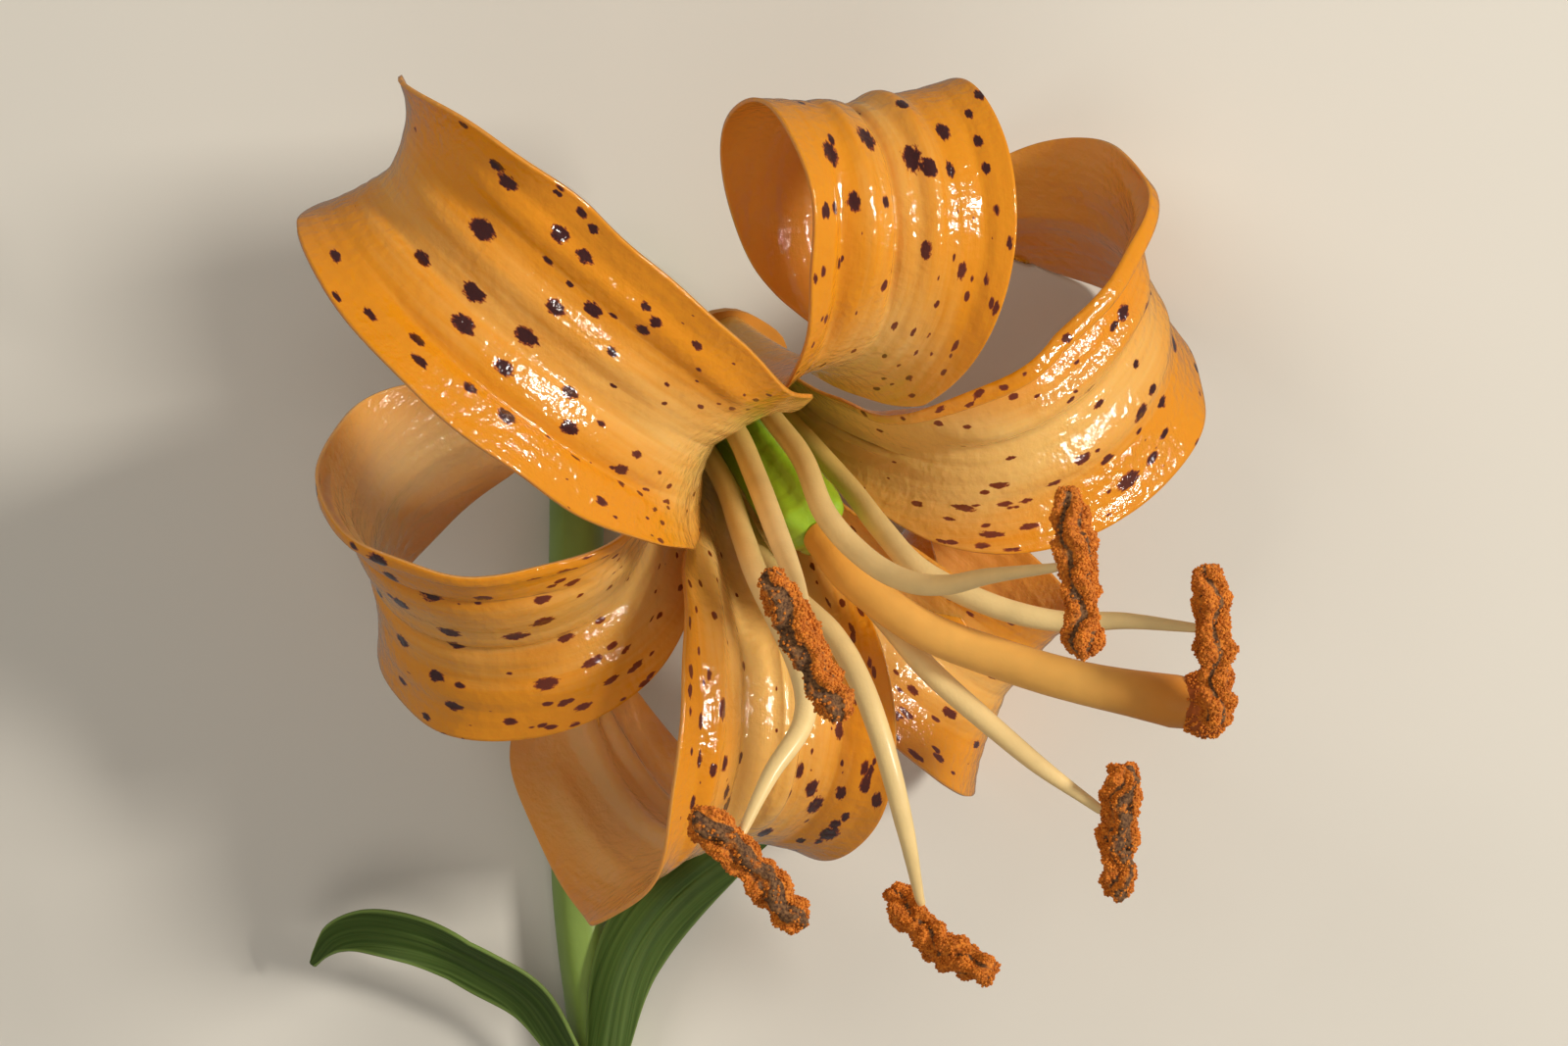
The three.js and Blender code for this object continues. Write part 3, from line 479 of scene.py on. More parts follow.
def pollen_tree():
    """A coat of pollen: scatters small clumps over a body, thinner in its furrows and on its bare side."""
    tree, given, add = grown_tree("Pollen coat", {
        "Density": 1.6e7, "Grain": 0.13 * MM, "Seed": 0, "Pollen": None})
    body = given["Geometry"]
    lobe, front, bare = (add(STORED, {"Name": key}, data_type="FLOAT") for key in ("lobe", "front", "bare"))
    cover = add(RANGE, {0: lobe, 1: -0.9, 2: -0.1, 3: 0.15, 4: 1.0})
    shown = add(MATH, {0: front, 1: bare}, operation="ADD")
    shown = add(RANGE, {0: shown, 1: 0.9, 2: 1.15, 3: 1.0, 4: 0.12})
    patch = add(NOISE, {"Scale": 900.0, "Detail": 2.0})
    patch = add(RANGE, {0: patch, 1: 0.35, 2: 0.55, 3: 0.35, 4: 1.0})
    for value in (shown, patch, given["Density"]):
        cover = add(MATH, {0: cover, 1: value}, operation="MULTIPLY")
    points = add("GeometryNodeDistributePointsOnFaces", {
        "Mesh": body, "Density": cover, "Seed": given["Seed"]}, distribute_method="RANDOM")
    size = add("FunctionNodeRandomValue", {2: 0.55, 3: 1.5, "Seed": given["Seed"]}, data_type="FLOAT")
    lift = size
    for value in (given["Grain"], 0.4):
        lift = add(MATH, {0: lift, 1: value}, operation="MULTIPLY")
    raised = add(VECTOR, {0: points.outputs["Normal"], "Scale": lift}, operation="SCALE")
    standing = add(MOVE, {"Geometry": points.outputs["Points"], "Offset": raised})
    grain = add("GeometryNodeMeshIcoSphere", {"Radius": given["Grain"], "Subdivisions": 1})
    turn = add("FunctionNodeRandomValue", {
        0: (0, 0, 0), 1: (6.28, 6.28, 6.28), "Seed": given["Seed"]}, data_type="FLOAT_VECTOR")
    turn = add("FunctionNodeEulerToRotation", {0: turn})
    coat = add("GeometryNodeInstanceOnPoints", {
        "Points": standing, "Instance": grain, "Rotation": turn, "Scale": size})
    coat = add(PAINT, {"Geometry": add(REAL, {"Geometry": coat}), "Material": given["Pollen"]})
    both = add("GeometryNodeJoinGeometry")
    for part in (coat.outputs[0], body):
        tree.links.new(part, both.inputs[0])
    add("NodeGroupOutput", {"Geometry": both})
    return tree


def grow(source, name, trees):
    """Runs Geometry Nodes trees in turn on a source mesh and returns the result as one plain mesh object."""
    holder = bpy.data.objects.new(name + "_source", source)
    bpy.context.scene.collection.objects.link(holder)
    for tree, values in trees:
        modifier = holder.modifiers.new(tree.name, "NODES")
        modifier.node_group = tree
        inputs = {item.name: item.identifier for item in tree.interface.items_tree if item.in_out == "INPUT"}
        for key, value in values.items():
            modifier[inputs[key]] = value
    graph = bpy.context.evaluated_depsgraph_get()
    mesh = bpy.data.meshes.new_from_object(
        holder.evaluated_get(graph), preserve_all_data_layers=True, depsgraph=graph)
    bpy.data.objects.remove(holder)
    if not mesh.polygons:
        raise RuntimeError(name + " came out empty")
    points = np.empty(len(mesh.vertices) * 3)
    mesh.vertices.foreach_get("co", points)
    points = np.clip(points.reshape(-1, 3), CAD_BOX[0], CAD_BOX[1])
    mesh.vertices.foreach_set("co", points.ravel())
    mesh.name = name
    mesh.update()
    piece = bpy.data.objects.new(name, mesh)
    bpy.context.scene.collection.objects.link(piece)
    return piece


def settle(piece, node):
    """Parents a finished piece to the root body and hides the solid that it stands for."""
    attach(piece, "root")
    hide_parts(node)


# Curves and surfaces

def smooth(knots, x):
    """A smooth curve through (place, value) knots."""
    places, values = np.array(knots, float).T
    x = np.clip(x, places[0], places[-1])
    rise = np.diff(values) / np.diff(places)
    slope = np.concatenate([rise[:1], (rise[1:] + rise[:-1]) / 2, rise[-1:]])
    i = np.clip(np.searchsorted(places, x, side="right") - 1, 0, len(places) - 2)
    step = places[i + 1] - places[i]
    u = (x - places[i]) / step
    start = (2 * u ** 3 - 3 * u ** 2 + 1) * values[i] + (u ** 3 - 2 * u ** 2 + u) * step * slope[i]
    return start + (3 * u ** 2 - 2 * u ** 3) * values[i + 1] + (u ** 3 - u ** 2) * step * slope[i + 1]


def path_through(points, stops):
    """Places along a smooth path through points, at shares of it from 0 to 1."""
    points = np.array(points, float)
    padded = np.vstack([2 * points[0] - points[1], points, 2 * points[-1] - points[-2]])
    at = np.clip(stops, 0, 1) * (len(points) - 1)
    i = np.minimum(at.astype(int), len(points) - 2)
    u = (at - i)[:, None]
    a, b, c, d = (padded[i + k] for k in range(4))
    return 0.5 * (2 * b + (c - a) * u + (2 * a - 5 * b + 4 * c - d) * u ** 2
                  + (3 * b - a - 3 * c + d) * u ** 3)


def distances(points):
    """How far along a line of points each of them lies."""
    return np.concatenate([[0], np.cumsum(np.linalg.norm(np.diff(points, axis=0), axis=1))])


def unit(rows):
    return rows / np.linalg.norm(rows, axis=-1, keepdims=True)


def midrib(tepal, ring):
    """Fine frames along a tepal's midrib in the plane of its azimuth, as the solid's blade has them."""
    _, length, _, opening = tepal["shape"]
    step = length / TEPAL_STEPS
    at = (np.arange(TEPAL_STEPS) + 0.5) * step
    curl = np.radians(np.interp(at, BEND_AT + [length], tepal["curl"])) * step
    sway, twist = (np.radians(np.interp(at, TURN_AT + [length], [0] + tepal[key])) * step
                   for key in ("sway", "twist"))
    opening = math.radians(opening)
    place = np.array([ring, 0.0, 0.0])
    along = np.array([math.sin(opening), 0, math.cos(opening)])
    inward = np.array([-math.cos(opening), 0, math.sin(opening)])
    across = np.cross(inward, along)
    rows = [(place, along, across, inward)]
    for i in range(TEPAL_STEPS):
        place = place + along * step
        turned = inward + along * curl[i] + across * twist[i]
        along = unit(along - inward * curl[i] + across * sway[i])
        inward = unit(turned - along * (turned @ along))
        across = np.cross(inward, along)
        rows.append((place, along, across, inward))
    return [np.array(part) for part in zip(*rows)]


def between(rows):
    """Doubles the rows with smooth in-between ones."""
    padded = np.vstack([2 * rows[0] - rows[1], rows, 2 * rows[-1] - rows[-2]])
    middle = (9 * (padded[1:-2] + padded[2:-1]) - padded[:-3] - padded[3:]) / 16
    out = np.empty((2 * len(rows) - 1, rows.shape[1]))
    out[0::2] = rows
    out[1::2] = middle
    return out


def waves(seed, x, lengths):
    """A sum of gentle waves of the given lengths, from -1 to 1, the same each time for a seed."""
    shifts = np.random.default_rng(seed).uniform(0, 2 * math.pi, len(lengths))
    return sum(np.sin(2 * math.pi * x / size + shift) for size, shift in zip(lengths, shifts)) / len(lengths)


def tepal_surface(name, tepal, ring, columns, wave):
    """The middle surface of a tepal on the flower, and each point's place on the blade, in millimetres."""
    azimuth, length, half, _ = tepal["shape"]
    place, along, across, inward = (between(rows) for rows in midrib(tepal, ring))
    across, inward = unit(across), unit(inward)
    s = np.linspace(0, length, len(place))
    # a short root runs on into the receptacle
    place = np.vstack([place[0] - ROOT_LENGTH * along[0], place])
    across, inward = (np.vstack([rows[:1], rows]) for rows in (across, inward))
    s = np.concatenate([[0], s])[:, None]
    width = half * smooth(OUTLINE, s / length)
    t = np.linspace(-1, 1, columns + 1)[None, :]
    wide = width + 0 * t
    for side, corner, height in tepal.get("corners", []):
        wide = wide + (np.sign(t) == side) * height * np.exp(-np.abs(s - corner) / CORNER_SPREAD)
    for side, swell, height, spread in tepal.get("swells", []):
        wide = wide + (np.sign(t) == side) * height * np.exp(-((s - swell) / spread) ** 2)
    left, right = (np.interp(s, CHANNEL_AT + [length], tepal[key]) for key in ("left", "right"))
    turn = np.radians(np.where(t < 0, left, right))
    lean = np.where(turn < 0, -1, 1)
    turn = np.maximum(np.abs(turn), 0.001)
    angle = np.abs(t) * turn
    x = np.sign(t) * wide * np.sin(angle) / turn
    z = lean * wide * (1 - np.cos(angle)) / turn
    # waved margins and low folds stand off along the arc's own normal
    seed = sum(map(ord, name))
    ripple = np.where(t < 0, waves(seed, s, [23, 14, 8.5]), waves(seed + 1, s, [26, 15.5, 9.3]))
    ripple = ripple * wave / MM * 2 * np.abs(t) ** 3 * np.clip(s / 15, 0, 1) * np.clip((length - s) / 8, 0, 1)
    for share, height, size, start, end in tepal["folds"]:
        reach = np.clip((s - start) / 6, 0, 1) * np.clip((end - s) / 6, 0, 1)
        reach = reach * reach * (3 - 2 * reach)
        ripple = ripple + height * reach * np.exp(-((t - share) * width / size) ** 2)
    x = x - lean * np.sign(t) * np.sin(angle) * ripple
    z = z + np.cos(angle) * ripple
    grid = place[:, None] + across[:, None] * x[..., None] + inward[:, None] * z[..., None]
    turned = np.array(LEAN @ Euler((0, 0, math.radians(azimuth))).to_matrix())
    return grid @ turned.T + RECEPTACLE, np.stack(np.broadcast_arrays(t * width, s, width), -1)


def leaf_surface(leaf):
    """The middle surface of a leaf on the stem, and each point's place on the blade, in millimetres."""
    stops = np.linspace(0, 1, LEAF_STEPS + 1)
    t = np.linspace(-1, 1, LEAF_COLUMNS + 1)
    points = path_through(leaf["route"], stops)
    tangent = unit(np.gradient(points, axis=0))
    across = np.array(leaf["across"], float)
    turn = math.radians(leaf["channel"])
    widths = smooth(leaf["half"], stops)
    rolls = np.radians(np.interp(stops, *np.transpose(leaf["roll"])))
    rows = []
    for point, way, width, roll in zip(points, tangent, widths, rolls):
        across = unit(across - way * (across @ way))
        side = across * math.cos(roll) + np.cross(way, across) * math.sin(roll)
        up = np.cross(side, way)
        rows.append(point + np.outer(width * np.sin(t * turn) / turn, side)
                    + np.outer(width * (1 - np.cos(t * turn)) / turn, up))
    widths = widths[:, None]
    return (np.array(rows) + RECEPTACLE,
            np.stack(np.broadcast_arrays(t * widths, distances(points)[:, None], widths), -1))


def spot_field(name, blade):
    """How far each point of a blade lies inside a spot: 1 in its middle, 0.5 at its rim, 0 far off."""
    across, along, half = blade[..., 0], blade[..., 1], blade[..., 2]
    field = np.zeros(across.shape)
    for place, share, size in SPOTS[name]:
        # short dashes by the throat, ovals further out
        grown = float(np.clip((place - 22) / 14, 0, 1))
        radius = size / 20 * (0.72 + 0.2 * grown)
        wide = radius * (0.36 + 0.28 * grown)
        far = np.hypot((across - share / 10 * half) / wide, (along - place) / radius)
        field = np.maximum(field, 1 - far / 2)
    return field


def carry(mesh, **numbers):
    """Makes a mesh carry numbers under their names, one for each point or one for them all."""
    for name, values in numbers.items():
        values = np.full(len(mesh.vertices), values, float)
        mesh.attributes.new(name, "FLOAT", "POINT").data.foreach_set("value", values)


def surface_mesh(name, grid, blade, floor, **numbers):
    """A grid of points as a mesh that carries each point's place on the blade, kept above the floor."""
    rows, columns = grid.shape[:2]
    points = grid.reshape(-1, 3).copy()
    points[:, 2] = np.maximum(points[:, 2], floor)
    corner = (np.arange(rows - 1)[:, None] * columns + np.arange(columns - 1)).ravel()
    faces = np.stack([corner, corner + columns, corner + columns + 1, corner + 1], -1)
    mesh = bpy.data.meshes.new(name)
    mesh.from_pydata((points * MM).tolist(), [], faces.tolist())
    places = mesh.attributes.new("blade", "FLOAT_VECTOR", "POINT")
    places.data.foreach_set("vector", (blade.reshape(-1, 3) * MM).ravel())
    carry(mesh, seed=sum(map(ord, name)) % 97, **numbers)
    return mesh


def cord_mesh(name, points, girths, twist=0.0, bare=0.0):
    """A line of points on the flower that carries its cord's girth, twist, bareness and share passed."""
    run = distances(points)
    mesh = bpy.data.meshes.new(name)
    mesh.from_pydata(((points + RECEPTACLE) * MM).tolist(), [(i, i + 1) for i in range(len(points) - 1)], [])
    carry(mesh, girth=girths * MM, share=run / run[-1], bare=bare, twist=twist)
    return mesh


def rounded_ends(points, girths, start=True):
    """Closes a cord's end, and its start too, with domes: the girth falls to nothing there, as on a ball."""
    run = distances(points)
    for wanted, distance, girth in ((start, run, girths[0]), (True, run[-1] - run, girths[-1])):
        if wanted:
            inside = np.clip(distance / girth, 0, 1)
            girths = girths * np.sqrt(np.clip(1 - (1 - inside) ** 2, 0.0004, 1))
    return girths


# Materials

def new_material(name, **values):
    """A material, with what is the same all over on its shader's own sockets, and what adds its nodes."""
    material = bpy.data.materials.new(name)
    material.use_nodes = True
    shader = material.node_tree.nodes["Principled BSDF"]
    for key, value in values.items():
        shader.inputs[key.replace("_", " ")].default_value = value
    return material, partial(add_node, material.node_tree)


def finish_material(material, tint, height=None, strength=1.0, **reliefs):
    """Gives a material its colour and, for each normal of its shader, bumps of a relief in millimetres."""
    tree = material.node_tree
    shader = tree.nodes["Principled BSDF"]
    tree.links.new(tint, shader.inputs["Base Color"])
    for key, relief in reliefs.items():
        bump = add_node(tree, "ShaderNodeBump", {
            "Height": height, "Strength": strength, "Distance": relief * MM})
        tree.links.new(bump.outputs[0], shader.inputs[key.replace("_", " ")])
    return material


def rgba(value):
    """An opaque colour, from an sRGB hex value or from linear red, green and blue."""
    return (*(linear(value) if isinstance(value, str) else value), 1.0)


def place_on_blade(add):
    """A point's place across and along its blade, in millimetres, and its share of the half width."""
    blade = add(ATTRIBUTE, attribute_name="blade").outputs["Vector"]
    mm = add(VECTOR, {0: blade, "Scale": 1 / MM}, operation="SCALE")
    x, y, half = add(SPLIT, {0: mm}).outputs
    off = add(MATH, {0: x}, operation="ABSOLUTE")
    return x, y, add(MATH, {0: off, 1: half}, operation="DIVIDE")


def tepal_material(colours):
    """Living petal tissue: waxy, slightly translucent cells, whose gloss breaks into wet grains."""
    material, add = new_material(
        "waxy spotted petal", Roughness=0.42, IOR=1.42, Subsurface_Weight=0.25, Subsurface_Scale=0.6 * MM,
        Subsurface_Radius=(1.0, 0.5, 0.12), Specular_IOR_Level=0.15, Coat_Weight=1.0, Coat_Roughness=0.06,
        Coat_IOR=1.7)
    side, seed, glow, mark, cream = (add(ATTRIBUTE, attribute_name=name).outputs["Fac"]
                                     for name in ("side", "seed", "glow", "mark", "cream"))
    x, y, share = place_on_blade(add)
    level = add(JOIN, {0: x, 1: y, 2: seed})
    # streaks along the veins, 0.5 mm across, and soft clouds of about 8 mm
    streak, cloud = (
        add(NOISE, {"Vector": add(VECTOR, {0: level, 1: scale}, operation="MULTIPLY"), "Scale": 1.0,
                    "Detail": detail}).outputs[0]
        for scale, detail in (((2.0, 0.1, 1.0), 3.0), ((0.13, 0.08, 1.0), 2.0)))
    # inner side: pale by the throat and the midrib, deep orange towards margins and tip
    depth = add(RANGE, {0: y, 1: 12.0, 2: 32.0, 3: 0.0, 4: 0.92}, interpolation_type="SMOOTHSTEP")
    rim = add(RANGE, {0: share, 1: 0.05, 2: 0.9, 3: -0.18, 4: 0.45})
    depth = add(MATH, {0: depth, 1: rim}, operation="ADD")
    middle = add(RANGE, {0: share, 1: 0.15, 2: 0.85, 3: -1.0, 4: 0.0})
    fade = add(RANGE, {0: y, 1: 22.0, 2: 46.0, 3: 1.0, 4: 0.2})
    glow = add(MATH, {0: glow, 1: fade}, operation="MULTIPLY")
    depth = add(MATH, {0: glow, 1: middle, 2: depth}, operation="MULTIPLY_ADD")
    for pattern, amount, last in ((streak, 0.12, False), (cloud, 0.15, True)):
        vary = add(RANGE, {0: pattern, 1: 0.3, 2: 0.7, 3: -amount, 4: amount})
        depth = add(MATH, {0: depth, 1: vary}, operation="ADD", use_clamp=last)
    throat = add(RANGE, {0: y, 1: 2.0, 2: 13.0, 3: 0.7, 4: 0.0})
    # large spots, with ragged fringes
    fringe = add(VECTOR, {0: level, 1: (4.4, 1.7, 1.0)}, operation="MULTIPLY")
    fringe = add(NOISE, {"Vector": fringe, "Scale": 1.0, "Detail": 4.0, "Roughness": 0.65}).outputs[0]
    fringe = add(MATH, {0: fringe, 1: 0.5}, operation="SUBTRACT")
    mark = add(MATH, {0: fringe, 1: 0.7, 2: mark}, operation="MULTIPLY_ADD")
    spots = add(RANGE, {0: mark, 1: 0.5, 2: 0.62})
    # small spots: cells of a Voronoi pattern, stretched and frayed along the veins
    fray = add(VECTOR, {0: level, 1: (4.5, 1.6, 1.0)}, operation="MULTIPLY")
    fray = add(NOISE, {"Vector": fray, "Scale": 1.0, "Detail": 3.0}).outputs[1]
    fray = add(VECTOR, {0: fray, 1: (0.5, 0.5, 0.5)}, operation="SUBTRACT")
    fray = add(VECTOR, {0: fray, "Scale": 0.14}, operation="SCALE")
    for number, (cell, reach, amount, small, large, start, end, aside) in enumerate(SPOT_LAYERS):
        where = add(VECTOR, {0: level, 1: (1 / cell, 1 / reach, 0.0)}, operation="MULTIPLY")
        for shift in (add(JOIN, {0: seed, 1: 7.3 * number}), fray):
            where = add(VECTOR, {0: where, 1: shift}, operation="ADD")
        cells = add("ShaderNodeTexVoronoi", {"Vector": where, "Scale": 1.0, "Randomness": 0.9},
                    voronoi_dimensions="2D", feature="F1")
        chance, size, _ = add("ShaderNodeSeparateColor", {0: cells.outputs["Color"]}).outputs
        radius = add(RANGE, {0: size, 3: small, 4: large})
        odds = add(RANGE, {0: share, 1: aside - 0.3, 2: aside, 3: amount * 0.15, 4: amount})
        there = add(MATH, {0: chance, 1: odds}, operation="LESS_THAN")
        come = add(RANGE, {0: y, 1: start - 3.0, 2: start + 3.0}, interpolation_type="SMOOTHSTEP")
        go = add(RANGE, {0: y, 1: end - 5.0, 2: end + 3.0, 3: 1.0, 4: 0.0})
        for factor in (there, come, go):
            radius = add(MATH, {0: radius, 1: factor}, operation="MULTIPLY")
        inside = add(MATH, {0: radius, 1: cells.outputs["Distance"]}, operation="SUBTRACT")
        mask = add(RANGE, {0: inside, 1: 0.0, 2: 0.045})
        spots = add(MATH, {0: spots, 1: mask}, operation="MAXIMUM")
    edge = add(RANGE, {0: spots, 1: 0.0, 2: 0.5})
    core = add(RANGE, {0: spots, 1: 0.5, 2: 1.0})
    young = add(RANGE, {0: y, 1: 24.0, 2: 36.0})
    heart = add(MIX, {0: young, 6: rgba("74301a"), 7: rgba(colours.spot)}, data_type="RGBA").outputs[2]
    inner = rgba(colours.tepal_pale)
    for factor, tint in ((depth, rgba(colours.tepal)), (throat, rgba("a8ac3a")), (edge, rgba("9a4318")),
                         (core, heart)):
        inner = add(MIX, {0: factor, 6: inner, 7: tint}, data_type="RGBA").outputs[2]
    # outer side: smoother and tanner, with a tan base and a pale band down the middle that is partly the back's
    # own creamy colour and partly painted light
    pale_middle_and_light = add(RANGE, {0: share, 1: 0.2, 2: 0.95, 3: 1.0, 4: 0.25})
    pale_middle_and_light = add(MATH, {0: pale_middle_and_light, 1: cream}, operation="MULTIPLY")
    cloudy = add(RANGE, {0: cloud, 1: 0.35, 2: 0.65})
    base = add(RANGE, {0: y, 1: 1.0, 2: 14.0, 3: 0.8, 4: 0.0})
    tint = rgba(colours.tepal_outer)
    for factor, over in ((cloudy, rgba("e49a34")), (pale_middle_and_light, rgba("fbd898")), (base, rgba("d0a048")),
                         (side, inner)):
        tint = add(MIX, {0: factor, 6: tint, 7: over}, data_type="RGBA").outputs[2]
    # cells about 0.05 mm wide would not show, so their gloss is drawn as grains of 0.5 mm, over wider puckers
    coordinates = add("ShaderNodeTexCoord").outputs["Object"]
    grain, puckers = (add(NOISE, {"Vector": coordinates, "Scale": scale, "Detail": detail}).outputs[0]
                      for scale, detail in ((1900.0, 3.0), (850.0, 1.0)))
    patch = add(RANGE, {0: cloud, 1: 0.35, 2: 0.65, 3: 0.6, 4: 1.6})
    height = add(MATH, {0: grain, 1: patch}, operation="MULTIPLY")
    for pattern, amount in ((puckers, 1.8), (streak, 0.7)):
        height = add(MATH, {0: pattern, 1: amount, 2: height}, operation="MULTIPLY_ADD")
    return finish_material(material, tint, height, Normal=0.06, Coat_Normal=0.11)


def cord_material(name, low, high, split, rough, coat, cell, relief, subsurface=0.15, last=None):
    """Smooth tissue along a cord, coloured from root to end; its grain's cell and relief are in mm."""
    material, add = new_material(
        name, Roughness=rough, IOR=1.42, Coat_Weight=coat, Coat_Roughness=0.2, Subsurface_Weight=subsurface,
        Subsurface_Scale=0.5 * MM, Subsurface_Radius=(1.0, 0.7, 0.4))
    share = add(ATTRIBUTE, attribute_name="share").outputs["Fac"]
    coordinates = add("ShaderNodeTexCoord").outputs["Object"]
    grain, patch = (add(NOISE, {"Vector": coordinates, "Scale": scale, "Detail": detail}).outputs[0]
                    for scale, detail in ((1 / (cell * MM), 3.0), (400.0, 2.0)))
    base = rgba(low)
    for (start, end), over in ((split, high), ((0.72, 0.95), last)):
        if over:
            far = add(RANGE, {0: share, 1: start, 2: end}, interpolation_type="SMOOTHSTEP")
            base = add(MIX, {0: far, 6: base, 7: rgba(over)}, data_type="RGBA").outputs[2]
    darker = add(MIX, {0: 0.75, 6: base, 7: rgba("000000")}, data_type="RGBA").outputs[2]
    tone = add(RANGE, {0: patch, 1: 0.35, 2: 0.75, 3: 0.0, 4: 0.14})
    tint = add(MIX, {0: tone, 6: base, 7: darker}, data_type="RGBA").outputs[2]
    return finish_material(material, tint, grain, 0.5, Normal=relief)


def pollen_material(colours):
    """Sticky lily pollen: dull oily grains, in clumps lighter and darker by their place."""
    material, add = new_material("sticky pollen", Roughness=0.85, IOR=1.45)
    coordinates = add("ShaderNodeTexCoord").outputs["Object"]
    clump = add(NOISE, {"Vector": coordinates, "Scale": 1500.0, "Detail": 3.0}).outputs[0]
    tone = add(RANGE, {0: clump, 1: 0.35, 2: 0.68})
    tint = add(MIX, {0: tone, 6: rgba("b05e1a"), 7: rgba(colours.pollen)}, data_type="RGBA").outputs[2]
    return finish_material(material, tint)


def anther_material(colours):
    """Split anther wall: dry brown in the furrows, caked with orange pollen on the ridges between them."""
    material, add = new_material("caked anther wall", Roughness=0.85, IOR=1.45)
    lobe, front, bare = (add(ATTRIBUTE, attribute_name=name).outputs["Fac"]
                         for name in ("lobe", "front", "bare"))
    coordinates = add("ShaderNodeTexCoord").outputs["Object"]
    grain, clump = (add(NOISE, {"Vector": coordinates, "Scale": scale, "Detail": detail}).outputs[0]
                    for scale, detail in ((4200.0, 2.0), (1100.0, 3.0)))
    shown = add(MATH, {0: front, 1: bare}, operation="ADD")
    shown = add(RANGE, {0: shown, 1: 0.9, 2: 1.15, 3: 0.0, 4: -0.42})
    cake = add(RANGE, {0: lobe, 1: -0.95, 2: -0.35, 3: 0.15, 4: 0.5})
    for value in (shown, clump):
        cake = add(MATH, {0: cake, 1: value}, operation="ADD")
    cake = add(RANGE, {0: cake, 1: 0.62, 2: 0.82})
    tone = add(RANGE, {0: grain, 1: 0.35, 2: 0.65})
    wall, dust = (add(MIX, {0: tone, 6: rgba(low), 7: rgba(high)}, data_type="RGBA").outputs[2]
                  for low, high in (("4a3020", colours.anther), ("a8581a", colours.pollen)))
    tint = add(MIX, {0: cake, 6: wall, 7: dust}, data_type="RGBA").outputs[2]
    return finish_material(material, tint, grain, Normal=0.12)


def leaf_material(colours):
    """Leaf cuticle: dark green with a thin wax bloom, fine veins along it and pale translucent margins."""
    material, add = new_material(
        "waxy leaf", Roughness=0.5, IOR=1.45, Specular_IOR_Level=0.3, Subsurface_Weight=0.1,
        Subsurface_Scale=0.4 * MM, Coat_Weight=0.15, Coat_Roughness=0.35)
    x, y, share = place_on_blade(add)
    veins = add(VECTOR, {0: add(JOIN, {0: x, 1: y}), 1: (3.0, 0.05, 0.0)}, operation="MULTIPLY")
    veins = add(NOISE, {"Vector": veins, "Scale": 1.0, "Detail": 2.0}).outputs[0]
    pale = add(RANGE, {0: veins, 1: 0.4, 2: 0.8, 3: 0.0, 4: 0.3})
    rim = add(RANGE, {0: share, 1: 0.86, 2: 1.0, 3: 0.0, 4: 0.7})
    tint = rgba(colours.leaf)
    for factor in (pale, rim):
        tint = add(MIX, {0: factor, 6: tint, 7: rgba(colours.leaf_edge)}, data_type="RGBA").outputs[2]
    return finish_material(material, tint, veins, 0.7, Normal=0.08)


# Operators

class LILY_OT_tepals(bpy.types.Operator):
    """Build the three petals and three sepals as veined, spotted blades"""
    bl_idname = "lily.tepals"
    bl_label = "Petals and sepals"

    def execute(self, context):
        sizes = context.scene.lily_sizes
        skin = tepal_material(context.scene.lily_colours)
        tree = blade_tree()
        for name, tepal in TEPALS.items():
            ring = PETAL_RING if name.startswith("petal") else SEPAL_RING
            grid, blade = tepal_surface(name, tepal, ring, sizes.columns, sizes.margin_wave)
            # the first number pales the back down its middle: partly its own colour, partly painted light
            cream, glow = CREAM_AND_PAINTED_LIGHT[name]
            source = surface_mesh(name, grid, blade, sizes.tepal_thickness / MM / 2, cream=cream, glow=glow,
                                  mark=spot_field(name, blade).ravel())
            piece = grow(source, "veined_" + name, [(tree, {
                "Thickness": sizes.tepal_thickness, "Margin thickness": sizes.margin_thickness,
                "Vein pitch": sizes.vein_pitch, "Vein height": sizes.vein_height,
                "Fold height": sizes.fold_height, "Midrib depth": sizes.midrib_depth,
                "Midrib width": MIDRIB_WIDTH * MM, "Skin": skin})])
            settle(piece, name)
        return {"FINISHED"}


class LILY_OT_filaments(bpy.types.Operator):
    """Build the six stalks of the stamens"""
    bl_idname = "lily.filaments"
    bl_label = "Filaments"

    def execute(self, context):
        colours = context.scene.lily_colours
        skin = cord_material("pale filament tissue", "c4a440", colours.filament, split=(0.02, 0.6), rough=0.5,
                             coat=0.3, cell=0.25, relief=0.05, subsurface=0.08)
        tree = cord_tree()
        stops = np.linspace(0, 1, FILAMENT_POINTS)
        for number, (route, anther, way, grip) in enumerate(STAMENS, 1):
            # the stalk ends at the anther's side, and its thin grip goes on inside
            way = unit(np.array(way, float))
            hold = np.array(anther) + way * grip
            beside = np.array(route[-1]) - hold
            beside = unit(beside - way * (beside @ way))
            end = hold + beside * (ANTHER_RADIUS * 1.05 + GAP)
            points = np.vstack([path_through(route[:-1] + [end], stops),
                                hold + beside * ANTHER_RADIUS * GRIP_DEPTH])
            girths = np.append(FILAMENT_GIRTH * smooth(FILAMENT_TAPER, stops), GRIP_GIRTH)
            piece = grow(cord_mesh("filament", points, girths), f"stalk_of_filament_{number}", [(tree, {
                "Sides": 20, "Lobes": 2.0, "Lobe depth": 0.06, "Ripple": 0.04 * MM, "Ripple size": 1.5 * MM,
                "Skin": skin})])
            settle(piece, f"filament_{number}")
        return {"FINISHED"}


